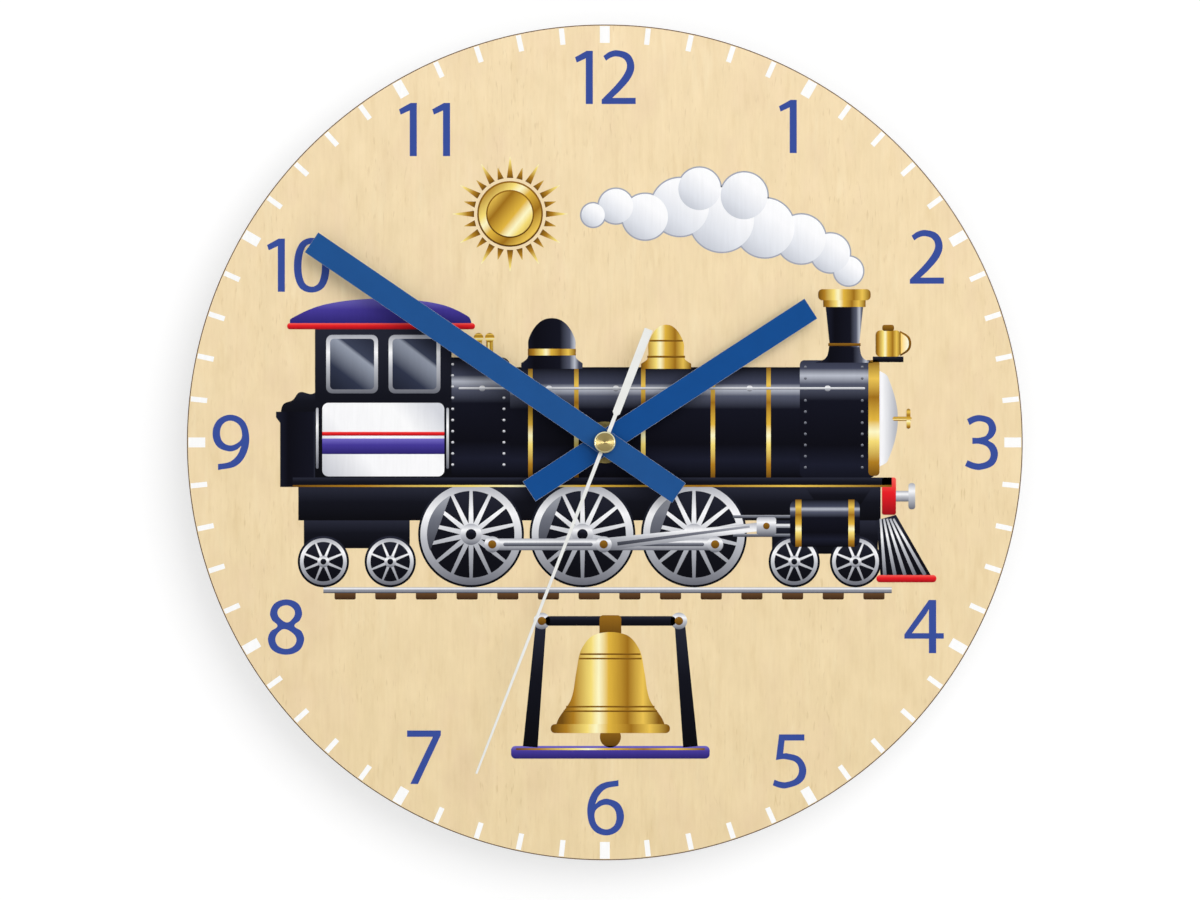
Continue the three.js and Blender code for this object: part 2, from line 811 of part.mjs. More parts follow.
const secondsWheelPhase = 0;
const fifthPinionPhase = meshPhase(fifthPinionTeeth, secondsWheelTeeth, secondsWheelPhase, fifthAngle);
const fifthWheelPhase = 0;
const rotorPinionPhase = meshPhase(rotorPinionTeeth, fifthWheelTeeth, fifthWheelPhase, rotorAngle);
const secondsPinionPhase = 0;
const thirdWheelPhase = meshPhase(thirdWheelTeeth, secondsPinionTeeth, secondsPinionPhase, thirdAngle);
const thirdPinionPhase = 0;
const centreWheelPhase = meshPhase(centreWheelTeeth, thirdPinionTeeth, thirdPinionPhase, thirdAngle + 180);
const cannonPinionPhase = 0;
const minuteWheelPhase = meshPhase(minuteWheelTeeth, cannonPinionTeeth, cannonPinionPhase, minuteWheelAngle);
const minutePinionPhase = 0;
const hourWheelAngle = minuteWheelAngle + 180;
const hourWheelPhase = meshPhase(hourWheelTeeth, minutePinionTeeth, minutePinionPhase, hourWheelAngle);
const settingPinionPhase = meshPhase(settingPinionTeeth, minuteWheelTeeth, minuteWheelPhase, settingAngle);

// A wheel and its pinion on a moulded arbor with a pivot at each end.
function wheelOnArbor(wheel, pinion, back, front) {
  const shoulder = caseInnerFront - bossLength - runningGap;
  return join(
    prism(gear(wheel.teeth, wheel.toothModule, wheel.phase), wheel.back, wheel.back + wheelThickness),
    prism(gear(pinion.teeth, pinion.toothModule, pinion.phase), pinion.back, pinion.front),
    rod(arborBodyRadius, plateFront + runningGap, shoulder, centre, pivotSides),
    rod(pivotRadius, back, front, centre, pivotSides),
  );
}

const pivotBack = plateFront - pivotLength;
const pivotFront = caseInnerFront - bossLength + pivotLength;

function thirdWheel() {
  const wheel = {
    teeth: thirdWheelTeeth,
    toothModule: secondsModule,
    phase: thirdWheelPhase,
    back: thirdBack,
  };
  const pinion = {
    teeth: thirdPinionTeeth,
    toothModule: thirdModule,
    phase: thirdPinionPhase,
    back: thirdBack,
    front: centreFront + pinionOverhang,
  };
  return wheelOnArbor(wheel, pinion, pivotBack, pivotFront);
}

function fifthWheel() {
  const wheel = {
    teeth: fifthWheelTeeth,
    toothModule: rotorModule,
    phase: fifthWheelPhase,
    back: fifthBack,
  };
  const pinion = {
    teeth: fifthPinionTeeth,
    toothModule: fifthModule,
    phase: fifthPinionPhase,
    back: fifthBack,
    front: secondsFront + pinionOverhang,
  };
  return wheelOnArbor(wheel, pinion, pivotBack, pivotFront);
}

function secondsWheel() {
  const bore = circle(arborRadius + pressGap, centre, pivotSides);
  return join(
    prism(gear(secondsWheelTeeth, fifthModule, secondsWheelPhase), secondsBack, secondsFront, [bore]),
    prism(
      gear(secondsPinionTeeth, secondsModule, secondsPinionPhase),
      secondsBack,
      thirdFront + pinionOverhang,
      [bore],
    ),
  );
}

// The centre wheel grips the neck of the cannon pinion only by friction, so that the hands can be set.
function centreWheel() {
  const bore = circle(cannonNeckRadius + pressGap);
  return prism(gear(centreWheelTeeth, thirdModule, centreWheelPhase), centreBack, centreFront, [bore]);
}

function cannonPinion() {
  const neckBack = centreBack - runningGap;
  const toothBack = minuteWheelBack - pinionOverhang;
  const toothFront = minuteWheelFront + pinionOverhang;
  const body = join(
    rod(cannonNeckRadius, neckBack, toothFront),
    prism(gear(cannonPinionTeeth, cannonModule, cannonPinionPhase), toothBack, toothFront),
    rod(minuteTubeRadius, toothFront - wheelThickness / 2, minuteTubeFront),
  );
  return cut(body, rod(cannonBoreRadius, neckBack - overrun, minuteTubeFront + overrun));
}

function minuteWheel() {
  const bore = circle(minutePostRadius + pivotGap, centre, pivotSides);
  return join(
    prism(gear(minuteWheelTeeth, cannonModule, minuteWheelPhase), minuteWheelBack, minuteWheelFront, [bore]),
    prism(
      gear(minutePinionTeeth, minuteModule, minutePinionPhase),
      minuteWheelBack,
      hourWheelFront + pinionOverhang,
      [bore],
    ),
  );
}

function hourWheel() {
  const bore = circle(hourBoreRadius);
  return join(
    prism(gear(hourWheelTeeth, minuteModule, hourWheelPhase), hourWheelBack, hourWheelFront, [bore]),
    tube(hourTubeRadius, hourBoreRadius, hourWheelBack, hourTubeFront),
  );
}

function rotorAndShaft() {
  const magnetBack = statorMiddle - magnetHeight / 2;
  const collarRadius = (magnetBoreRadius + magnetRadius) / 2;
  const collarBack = magnetBack - seatGap - wheelThickness;
  const shoulder = caseInnerFront - bossLength - runningGap;
  return join(
    prism(
      gear(rotorPinionTeeth, rotorModule, rotorPinionPhase),
      fifthBack - pinionOverhang,
      fifthFront + pinionOverhang,
    ),
    rod(arborBodyRadius, plateFront + runningGap, shoulder, centre, pivotSides),
    rod(collarRadius, collarBack, magnetBack - seatGap),
    rod(magnetBoreRadius - pressGap, collarBack, magnetBack + magnetHeight),
    rod(pivotRadius, pivotBack, pivotFront, centre, pivotSides),
  );
}

function wheelTrain() {
  add("cannon_pinion", finish.whitePlastic, cannonPinion());
  add("centre_wheel", finish.whitePlastic, centreWheel());
  add("minute_wheel", finish.whitePlastic, minuteWheel(), minutePost);
  add("hour_wheel", finish.whitePlastic, hourWheel());
  add("third_wheel", finish.whitePlastic, thirdWheel(), third);
  add("seconds_wheel", finish.whitePlastic, secondsWheel());
  add("seconds_arbor", finish.steel, rod(arborRadius, pivotBack, arborFront, centre, pivotSides));
  add("fifth_wheel", finish.whitePlastic, fifthWheel(), fifth);
  add("rotor_pinion", finish.whitePlastic, rotorAndShaft(), rotor);
  const magnetBack = statorMiddle - magnetHeight / 2;
  const magnet = tube(magnetRadius, magnetBoreRadius, magnetBack, magnetBack + magnetHeight);
  add("rotor_magnet", finish.magnet, magnet, rotor);
}

// Setting knob, turned with a fingertip from behind

const gripCrestShares = [0, 0.35];
const gripRootShares = [0.5, 0.85];

function settingKnob() {
  const step = 360 / knobGrips;
  const rootRadius = knobRadius - knobGripDepth;
  const outline = [];
  for (let i = 0; i < knobGrips; i++) {
    const place = (radius) => (share) => new THREE.Vector2(...polar(centre, (i + share) * step, radius));
    outline.push(...gripCrestShares.map(place(knobRadius)), ...gripRootShares.map(place(rootRadius)));
  }
  const head = prism(outline, knobRecess, knobRecess + knobThickness);
  const dimple = rod(knobRadius / 2, knobRecess - overrun, knobRecess + knobThickness / 4);
  const stemBack = knobRecess + knobThickness / 2;
  const stemFront = caseInnerFront - runningGap;
  return join(cut(head, dimple), rod(knobStemRadius, stemBack, stemFront, centre, pivotSides));
}

function settingPinion() {
  const bore = circle(knobStemRadius + pressGap, centre, pivotSides);
  const outline = gear(settingPinionTeeth, cannonModule, settingPinionPhase);
  return prism(outline, minuteWheelBack - pinionOverhang, minuteWheelFront + pinionOverhang, [bore]);
}

function settingParts() {
  add("setting_knob", finish.blackPlastic, settingKnob(), setting);
  add("setting_pinion", finish.whitePlastic, settingPinion(), setting);
}

// Motor and circuit

function statorPlate() {
  const limb = rectangle(limbX - statorLimbWidth / 2, tabBottom, limbX + statorLimbWidth / 2, tabTop);
  const tabs = [tabBottom, tabTop - statorTabWidth].map((low) =>
    block(limbX, low, tabRight, low + statorTabWidth, statorBack, statorFront),
  );
  const plate = join(
    prism(limb, statorBack, statorFront),
    rod(statorRingRadius, statorBack, statorFront, rotor),
    ...tabs,
  );
  const holes = [
    rod(magnetRadius + rotorAirGap, statorBack - overrun, statorFront + overrun, rotor),
    ...statorPegs.map((peg) =>
      rod(pegPinRadius + pivotGap, statorBack - overrun, statorFront + overrun, peg, pivotSides),
    ),
  ];
  return cut(plate, ...holes);
}

// Turned about z and then laid along y, with its middle on the coil's axis.
function alongCoil(solid) {
  return solid.rotate([-90, 0, 0]).translate([coilX, bobbinRise, coilZ]);
}

function coilBobbin() {
  const half = bobbinSpan / 2;
  const spool = turned([
    [0, -half],
    [bobbinFlangeRadius, -half],
    [bobbinFlangeRadius, -half + bobbinFlangeThickness],
    [bobbinTubeRadius, -half + bobbinFlangeThickness],
    [bobbinTubeRadius, half - bobbinFlangeThickness],
    [bobbinFlangeRadius, half - bobbinFlangeThickness],
    [bobbinFlangeRadius, half],
    [0, half],
  ]);
  return cut(alongCoil(spool), coreBar(pressGap));
}

function coreBar(gap) {
  return block(
    coilX - coreWidth / 2 - gap,
    tabBottom,
    coilX + coreWidth / 2 + gap,
    tabTop,
    coreBack - gap,
    coreFront + gap,
  );
}

function coilWinding() {
  const half = bobbinSpan / 2 - bobbinFlangeThickness - seatGap;
  return alongCoil(tube(coilRadius, bobbinTubeRadius + pressGap, -half, half));
}

function circuitBoard() {
  const outline = rectangle(-circuitHalfWidth, circuitBottom, circuitHalfWidth, circuitTop);
  const holes = circuitPegs.map((peg) => circle(pegPinRadius + pivotGap, peg, pivotSides));
  return prism(outline, circuitBack, circuitFront, holes);
}

function chipCover() {
  const steps = 5;
  const profile = [[0, circuitFront + seatGap]];
  for (let i = 0; i <= steps; i++) {
    const angle = radians((90 * i) / steps);
    profile.push([chipRadius * Math.cos(angle), circuitFront + seatGap + chipHeight * Math.sin(angle)]);
  }
  profile.at(-1)[0] = 0;
  return turned(profile);
}

function crystalCan() {
  const z = circuitFront + seatGap + crystalRadius;
  const half = crystalLength / 2;
  return rod(crystalRadius, -half, half, centre, pivotSides)
    .rotate([0, 90, 0])
    .translate([crystalOffset, circuitMiddle, z]);
}

function motorAndCircuit() {
  add("stator_plate", finish.steel, statorPlate());
  add("coil_core", finish.steel, coreBar(0));
  add("coil_bobbin", finish.whitePlastic, coilBobbin());
  add("coil_winding", finish.copper, coilWinding());
  add("circuit_board", finish.laminate, circuitBoard());
  add("chip_cover", finish.epoxy, chipCover(), [-chipOffset, circuitMiddle]);
  add("quartz_crystal", finish.steel, crystalCan());
}

// Battery and its contacts

function batteryCell() {
  const body = batteryLength - batteryNubLength;
  const profile = [
    [0, 0],
    [batteryRadius - batteryEdge, 0],
    [batteryRadius, batteryEdge],
    [batteryRadius, body - batteryEdge],
    [batteryRadius - batteryEdge, body],
    [batteryNubRadius, body],
    [batteryNubRadius, batteryLength],
    [0, batteryLength],
  ];
  return turned(profile).rotate([0, 90, 0]).translate([batteryLeft, batteryY, batteryZ]);
}

// A strip on the side wall that runs up from the battery and turns in over the circuit board.
function contactLeg(side) {
  const [left, right] = [side * contactInner, side * contactOuter].sort((a, b) => a - b);
  const strap = block(left, batteryY, right, circuitMiddle, legBack, legFront);
  const footEnd = side * (circuitHalfWidth - contactFootLength);
  const [low, high] = [footEnd, side * contactOuter].sort((a, b) => a - b);
  const footBottom = circuitMiddle - contactWidth / 2;
  return join(strap, block(low, footBottom, high, circuitMiddle, legBack, legBack + contactThickness));
}

function positiveContact() {
  const reach = batteryRadius - batteryEdge;
  const pad = block(
    contactInner,
    batteryY - contactWidth / 2,
    contactOuter,
    batteryY + contactWidth / 2,
    batteryZ - reach,
    batteryZ + reach,
  );
  return join(pad, contactLeg(1));
}

// A hairpin leaf that springs against the battery's flat end. Each row of the table is a bend of the
// leaf: its share of the way from the wall to the battery, and its height above the battery's axis as
// a share of the leaf's reach.
const leafShares = [
  [0, -1],
  [0, 0.75],
  [0.35, 1],
  [0.65, 1],
  [1, 0.12],
  [1, -0.12],
  [0.6, -0.7],
];

function negativeContact() {
  const wallX = -(contactInner + contactOuter) / 2;
  const tipX = batteryLeft - pressGap - contactThickness / 2;
  const reach = batteryRadius - batteryEdge;
  const line = leafShares.map(([across, up]) => [wallX + across * (tipX - wallX), batteryZ + up * reach]);
  const outline = strip(line, contactThickness);
  const leaf = uprightPrism(outline, batteryY - contactWidth / 2, batteryY + contactWidth / 2);
  return join(leaf, contactLeg(-1));
}

function power() {
  add("battery_cell", finish.sleeve, batteryCell());
  add("battery_contact_positive", finish.steel, positiveContact());
  add("battery_contact_negative", finish.steel, negativeContact());
}

// Hands. Each is drawn pointing at twelve and turned clockwise to its place.

function barHand(width, reach, tail, back, boreRadius) {
  const outline = rectangle(-width / 2, -tail, width / 2, reach);
  return prism(outline, back, back + handThickness, [circle(boreRadius)]);
}

// A riveted ring under the hand that is pressed onto its tube.
function collet(tubeRadius, handBack) {
  const bore = tubeRadius + pressGap;
  const neck = bore + colletWall;
  return turned([
    [bore, handBack - colletFlangeThickness],
    [neck + colletFlangeWidth / 2, handBack - colletFlangeThickness],
    [neck + colletFlangeWidth / 2, handBack - seatGap],
    [neck, handBack - seatGap],
    [neck, handBack + handThickness],
    [bore, handBack + handThickness],
    [bore, handBack - colletFlangeThickness],
  ]);
}

function secondsHand() {
  const half = (width) => width / 2;
  const side = [
    [half(secondsHandTipWidth), secondsHandReach],
    [half(secondsHandHubWidth), 0],
    [half(secondsHandHubWidth), -paddleStart],
    [half(paddleRootWidth), -paddleStart - paddleShoulder],
    [half(paddleEndWidth), -paddleReach],
  ];
  const outline = [
    ...side.toReversed().map(([x, y]) => new THREE.Vector2(x, y)),
    ...side.map(([x, y]) => new THREE.Vector2(-x, y)),
  ];
  const blade = prism(outline, secondsHandBack, secondsHandFront);
  const hub = rod(secondsHandHubRadius, secondsHandBack, secondsHandFront);
  const bore = rod(spigotRadius + pressGap, secondsHandBack - overrun, secondsHandFront + overrun);
  return cut(join(blade, hub), bore);
}

const spigotBoreRadius = arborRadius + pressGap;
const spigotRadius = spigotBoreRadius + spigotWall;

// The cap's spigot passes through the seconds hand and grips the end of its arbor.
function centreCap() {
  return turned([
    [spigotBoreRadius, spigotBack],
    [spigotRadius, spigotBack],
    [spigotRadius, capBack],
    [capRadius, capBack],
    [capRadius, capFront - capChamfer],
    [capRadius - capChamfer, capFront],
    [0, capFront],
    [0, capFront - capSkin],
    [spigotBoreRadius, capFront - capSkin],
    [spigotBoreRadius, spigotBack],
  ]);
}

function hands() {
  const hourNeck = hourTubeRadius + pressGap + colletWall;
  const minuteNeck = minuteTubeRadius + pressGap + colletWall;
  const hourHand = barHand(hourHandWidth, hourHandReach, hourHandTail, hourHandBack, hourNeck + pressGap);
  const minuteHand = barHand(
    minuteHandWidth,
    minuteHandReach,
    minuteHandTail,
    minuteHandBack,
    minuteNeck + pressGap,
  );
  add("hour_hand", finish.blueHand, hourHand, centre, hourHandAngle);
  add("hour_hand_collet", finish.steel, collet(hourTubeRadius, hourHandBack));
  add("minute_hand", finish.blueHand, minuteHand, centre, minuteHandAngle);
  add("minute_hand_collet", finish.steel, collet(minuteTubeRadius, minuteHandBack));
  add("seconds_hand", finish.whiteHand, secondsHand(), centre, secondsHandAngle);
  add("centre_cap", finish.brass, centreCap());
}

dialAndClamp();
movementCase();
wheelTrain();
settingParts();
motorAndCircuit();
power();
hands();

// Upright: the dial's up becomes +Z, and the side that is read faces -Y.
clock.rotation.x = Math.PI / 2;

export default clock;
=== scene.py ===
import math

import bmesh
import bpy
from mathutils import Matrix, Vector
from mathutils.geometry import tessellate_polygon


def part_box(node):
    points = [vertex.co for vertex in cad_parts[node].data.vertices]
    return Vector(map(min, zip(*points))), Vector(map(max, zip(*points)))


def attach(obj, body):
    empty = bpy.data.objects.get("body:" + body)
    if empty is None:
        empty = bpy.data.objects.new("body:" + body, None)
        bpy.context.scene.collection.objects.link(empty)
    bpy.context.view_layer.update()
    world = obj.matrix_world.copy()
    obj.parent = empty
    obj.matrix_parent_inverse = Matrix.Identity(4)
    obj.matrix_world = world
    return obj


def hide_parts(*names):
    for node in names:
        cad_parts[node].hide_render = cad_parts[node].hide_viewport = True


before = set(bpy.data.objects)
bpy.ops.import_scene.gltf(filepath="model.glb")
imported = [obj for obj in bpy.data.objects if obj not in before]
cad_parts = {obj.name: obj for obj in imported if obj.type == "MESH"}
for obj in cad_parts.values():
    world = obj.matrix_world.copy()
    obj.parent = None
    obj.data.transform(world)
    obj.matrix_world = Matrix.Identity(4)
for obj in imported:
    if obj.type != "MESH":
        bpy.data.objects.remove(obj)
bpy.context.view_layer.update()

# Sizes are in millimetres in the clock's own frame: x to the right and y up as the reader
# sees the dial, z from the wall towards the reader.
MILLIMETRE = 0.001
FULL_TURN = 2 * math.pi


def place(x, y, z):
    return Vector((x, -z, y)) * MILLIMETRE


def new_object(name, data):
    made = bpy.data.objects.new(name, data)
    bpy.context.scene.collection.objects.link(made)
    return made


# Camera

FRAME_WIDTH = 430.7
SENSOR_WIDTH = 36.0
VIEW_DISTANCE = 2200.0
AIM_X = -1.72
AIM_Y = -2.73
NEAR_LIMIT = 0.05
FAR_LIMIT = 50.0
DIAL_FRONT = -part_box("dial_board")[0].y / MILLIMETRE
DIAL_BACK = -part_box("dial_board")[1].y / MILLIMETRE
DIAL_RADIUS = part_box("dial_board")[1].x / MILLIMETRE


def make_camera():
    data = bpy.data.cameras.new("camera")
    data.sensor_width = SENSOR_WIDTH
    data.lens = SENSOR_WIDTH * VIEW_DISTANCE / FRAME_WIDTH
    data.clip_start = NEAR_LIMIT
    data.clip_end = FAR_LIMIT
    camera = new_object("camera", data)
    camera.location = place(AIM_X, AIM_Y, DIAL_FRONT + VIEW_DISTANCE)
    camera.rotation_euler = (math.pi / 2, 0, 0)
    bpy.context.scene.camera = camera


make_camera()

# Colours and nodes


def linear(level):
    """The light of an sRGB level from 0 to 255, as a share of white."""
    share = level / 255
    if share <= 0.04045:
        return share / 12.92
    return ((share + 0.055) / 1.055) ** 2.4


def colour(red, green, blue):
    return (linear(red), linear(green), linear(blue), 1)


def grey(share):
    return (share, share, share, 1)


def feed(tree, socket, value):
    if isinstance(value, bpy.types.Node):
        tree.links.new(value.outputs[0], socket)
    elif isinstance(value, bpy.types.NodeSocket):
        tree.links.new(value, socket)
    else:
        socket.default_value = value


def node(tree, kind, inputs=None, **settings):
    made = tree.nodes.new(kind)
    for name, value in settings.items():
        setattr(made, name, value)
    for socket, value in (inputs or {}).items():
        feed(tree, made.inputs[socket], value)
    return made


def calc(tree, operation, first, second=0.0):
    return node(tree, "ShaderNodeMath", {0: first, 1: second}, operation=operation)


def ramp(tree, value, stops):
    made = node(tree, "ShaderNodeValToRGB", {"Fac": value})
    elements = made.color_ramp.elements
    while len(elements) < len(stops):
        elements.new(0.5)
    for element, (position, tone) in zip(elements, stops):
        element.position = position
        element.color = tone
    return made


def two_tone(tree, field, low, high):
    """Two colours that meet where a noise is about even."""
    return ramp(tree, field, [(0.3, low), (0.7, high)])


def mapped(tree, value, low, high, start=0.0, end=1.0):
    """Goes from start to end as the value goes from low to high, and holds them beyond."""
    ends = {"Value": value, "From Min": low, "From Max": high, "To Min": start, "To Max": end}
    return node(tree, "ShaderNodeMapRange", ends)


# Sockets of the mix node: its two numbers, its two colours, and its mixed colour
FIRST_NUMBER = 2
SECOND_NUMBER = 3
FIRST_COLOUR = 6
SECOND_COLOUR = 7
MIXED_COLOUR = 2


def blended(tree, factor, first, second, blend="MIX"):
    sockets = {0: factor, FIRST_COLOUR: first, SECOND_COLOUR: second}
    made = node(tree, "ShaderNodeMix", sockets, data_type="RGBA", blend_type=blend)
    return made.outputs[MIXED_COLOUR]


def own_point(tree):
    """Where the shaded point lies in its own object, in metres."""
    return node(tree, "ShaderNodeTexCoord").outputs["Object"]


def axes(tree, vector):
    return node(tree, "ShaderNodeSeparateXYZ", {0: vector}).outputs


def noise(tree, stretch, detail=3.0, roughness=0.55):
    where = node(tree, "ShaderNodeMapping", {"Vector": own_point(tree), "Scale": stretch})
    settings = {"Vector": where, "Scale": 1.0, "Detail": detail, "Roughness": roughness}
    return node(tree, "ShaderNodeTexNoise", settings)


def paint(tree, shader, tone):
    feed(tree, shader.inputs["Base Color"], tone)


def bumped(tree, shader, height, distance, strength=1.0):
    bump = node(tree, "ShaderNodeBump", {"Height": height, "Distance": distance, "Strength": strength})
    tree.links.new(bump.outputs[0], shader.inputs["Normal"])


def new_material(name, roughness=0.5, metallic=0.0, specular=0.5):
    material = bpy.data.materials.new(name)
    material.use_nodes = True
    tree = material.node_tree
    shader = tree.nodes["Principled BSDF"]
    shader.inputs["Roughness"].default_value = roughness
    shader.inputs["Metallic"].default_value = metallic
    shader.inputs["Specular IOR Level"].default_value = specular
    return material, tree, shader


CLOUD_SCALE = 60.0
GRAIN_DETAIL = 2.0


def moulded(name, low, high, roughness, grain, depth, specular=0.5):
    """A plastic or rubber with a fine spark-eroded grain and a cloudy tone."""
    material, tree, shader = new_material(name, roughness, 0.0, specular)
    cloud = noise(tree, (CLOUD_SCALE,) * 3, GRAIN_DETAIL)
    paint(tree, shader, two_tone(tree, cloud, colour(*low), colour(*high)))
    bumped(tree, shader, noise(tree, (grain,) * 3, GRAIN_DETAIL), depth)
    return material


MARK_DETAIL = 4.0
MARK_ROUGHNESS = 0.65


def metal(name, low, high, roughness, stretch, depth=0.000004):
    """A metal whose tool marks run along the short side of stretch."""
    material, tree, shader = new_material(name, roughness, 1.0)
    marks = noise(tree, stretch, MARK_DETAIL, MARK_ROUGHNESS)
    paint(tree, shader, two_tone(tree, marks, colour(*low), colour(*high)))
    bumped(tree, shader, marks, depth)
    return material


RING_SCALE = 6250.0
RING_DEPTH = 0.000004
RING_STRENGTH = 0.5
ANISOTROPY = 0.9
ANISOTROPY_TURN = 0.25


def turned(name, low, high, roughness):
    """A face turned on a lathe about the arbor: fine rings that draw the light into a bright band."""
    material, tree, shader = new_material(name, roughness, 1.0)
    where = axes(tree, own_point(tree))
    squares = [calc(tree, "MULTIPLY", where[i], where[i]) for i in (0, 2)]
    radius = calc(tree, "SQRT", calc(tree, "ADD", *squares))
    settings = {"W": radius, "Scale": RING_SCALE, "Detail": GRAIN_DETAIL}
    rings = node(tree, "ShaderNodeTexNoise", settings, noise_dimensions="1D")
    paint(tree, shader, two_tone(tree, rings, colour(*low), colour(*high)))
    bumped(tree, shader, rings, RING_DEPTH, RING_STRENGTH)
    tangent = node(tree, "ShaderNodeTangent", direction_type="RADIAL", axis="Y")
    feed(tree, shader.inputs["Anisotropic"], ANISOTROPY)
    feed(tree, shader.inputs["Anisotropic Rotation"], ANISOTROPY_TURN)
    feed(tree, shader.inputs["Tangent"], tangent)
    return material


# Wood

WOOD_SPECULAR = 0.2
GRAIN_ACROSS = 800.0
GRAIN_ALONG = 60.0
GRAIN_TONES = [
    (0.3, colour(244, 220.5, 178.5)), (0.5, colour(246.5, 223.5, 182.5)), (0.7, colour(248.5, 226, 186)),
]
# Layers on the grain: how the noise is stretched, its detail and roughness, where in it the layer
# starts and is full, how much of it shows when full, and its tone
WOOD_LAYERS = [
    ((330.0, 1.0, 55.0), 3.0, 0.6, 0.52, 0.75, 0.5, colour(234, 207, 160)),
    ((260.0, 3.0, 40.0), 3.0, 0.6, 0.55, 0.78, 0.5, colour(251, 233, 197)),
    ((75.0, 75.0, 40.0), 2.0, 0.55, 0.5, 0.75, 0.5, colour(242, 215, 180)),
]
PORE_TONE = colour(209, 178, 126)
MOTTLE_TONE = (0.93, 0.92, 0.895, 1)
# Painted light and shade: the board's colour is made darker towards the bottom and lighter towards the top
BOTTOM_SHADE_TONE = (0.91, 0.905, 0.84, 1)
TOP_LIGHT_TONE = (0.995, 0.995, 0.985, 1)


def wood_grain(tree):
    return noise(tree, (GRAIN_ACROSS, 1.0, GRAIN_ALONG), 3.0, 0.6)


def pores(tree):
    """How much the short dark pores show; they come in patches."""
    patches = mapped(tree, noise(tree, (45.0, 5.0, 30.0), 1.0), 0.4, 0.62)
    marks = mapped(tree, noise(tree, (1150.0, 1.0, 190.0), 1.0, 0.5), 0.62, 0.74, 0.0, 0.35)
    return calc(tree, "MULTIPLY", marks, patches)


def birch():
    material, tree, shader = new_material("birch", 0.55, 0.0, WOOD_SPECULAR)
    grain = wood_grain(tree)
    tone = ramp(tree, grain, GRAIN_TONES)
    for stretch, detail, roughness, start, full, share, layer in WOOD_LAYERS:
        field = noise(tree, stretch, detail, roughness)
        tone = blended(tree, mapped(tree, field, start, full, 0.0, share), tone, layer)
    tone = blended(tree, pores(tree), tone, PORE_TONE)
    mottle = two_tone(tree, noise(tree, (110.0, 1.0, 60.0), 4.0, 0.6), MOTTLE_TONE, grey(1))
    tone = blended(tree, 1.0, tone, mottle, "MULTIPLY")
    # Painted shade towards the bottom of the board and painted light towards its top, by height
    reach = DIAL_RADIUS * MILLIMETRE
    height = mapped(tree, axes(tree, own_point(tree))[2], -reach, reach)
    painted_top_light = ramp(tree, height, [(0.0, BOTTOM_SHADE_TONE), (1.0, TOP_LIGHT_TONE)])
    paint(tree, shader, blended(tree, 1.0, tone, painted_top_light, "MULTIPLY"))
    bumped(tree, shader, grain, 0.00004, 0.5)
    return material


PLY_COUNT = 3.0
PLY_TONES = [(0.0, colour(128, 92, 58)), (0.42, colour(112, 78, 48)), (0.48, colour(60, 40, 26))]
SCORCH_TONE = colour(70, 48, 32)
SCORCH_DEPTH = 0.00006


def burnt_edge():
    """The side of the board where the laser cut it: scorched plies with their glue lines."""
    material, tree, shader = new_material("burnt_edge", 0.7, 0.0, WOOD_SPECULAR)
    depth = axes(tree, own_point(tree))[1]
    plies = mapped(tree, depth, -DIAL_FRONT * MILLIMETRE, -DIAL_BACK * MILLIMETRE, 0.0, PLY_COUNT)
    off_middle = calc(tree, "ABSOLUTE", calc(tree, "SUBTRACT", calc(tree, "FRACT", plies), 0.5))
    streak = noise(tree, (700.0, 60.0, 700.0), 4.0, 0.7)
    scorched = ramp(tree, streak, [(0.35, grey(0)), (0.75, grey(0.8))])
    tone = blended(tree, scorched, ramp(tree, off_middle, PLY_TONES), SCORCH_TONE)
    paint(tree, shader, tone)
    bumped(tree, shader, streak, SCORCH_DEPTH)
    return material


# Ink

INK_ROUGHNESS = 0.6
INK_SPECULAR = 0.03
INK_DEPTH = 0.00003
INK_STRENGTH = 0.4
VEIL = 0.95
SHADE = "shade"


def ink(name, *stops):
    """Printed colour, shaded by the share in a slab's points; a stop is a share and its colour."""
    material, tree, shader = new_material("ink_" + name, INK_ROUGHNESS, 0.0, INK_SPECULAR)
    share = node(tree, "ShaderNodeAttribute", attribute_name=SHADE).outputs["Fac"]
    tones = ramp(tree, share, [(stop, colour(*levels)) for stop, *levels in stops])
    grain = wood_grain(tree)
    veil = two_tone(tree, grain, grey(VEIL), grey(1))
    paint(tree, shader, blended(tree, 1.0, tones, veil, "MULTIPLY"))
    bumped(tree, shader, grain, INK_DEPTH, INK_STRENGTH)
    return material


def plain_ink(name, *levels):
    return ink(name, (0.0, *levels), (1.0, *levels))


# Shapes of flat ink: outlines are lists of points, with a smooth point marked by a third value


def turns(count):
    return [FULL_TURN * i / count for i in range(count)]


def circle(x, y, radius, count=64):
    return [(x + radius * math.cos(a), y + radius * math.sin(a)) for a in turns(count)]


def polar(x, y, radius, degrees):
    turn = math.radians(degrees)
    return (x + radius * math.cos(turn), y + radius * math.sin(turn))


def arc(x, y, radius, first, last, count=24):
    return [polar(x, y, radius, first + (last - first) * i / count) for i in range(count + 1)]


def box(left, bottom, right, top):
    return [(left, bottom), (right, bottom), (right, top), (left, top)]


def round_box(left, bottom, right, top, radius):
    corners = [(right - radius, bottom + radius, -90), (right - radius, top - radius, 0)]
    corners += [(left + radius, top - radius, 90), (left + radius, bottom + radius, 180)]
    return [point for x, y, turn in corners for point in arc(x, y, radius, turn, turn + 90, 6)]


def bar(start, end, first_width, last_width=None):
    last_width = first_width if last_width is None else last_width
    along = Vector((end[0] - start[0], end[1] - start[1])).normalized()
    side = Vector((-along.y, along.x))
    a = Vector(start)
    b = Vector(end)
    corners = [a + side * first_width / 2, a - side * first_width / 2]
    corners += [b - side * last_width / 2, b + side * last_width / 2]
    return [tuple(p) for p in corners]


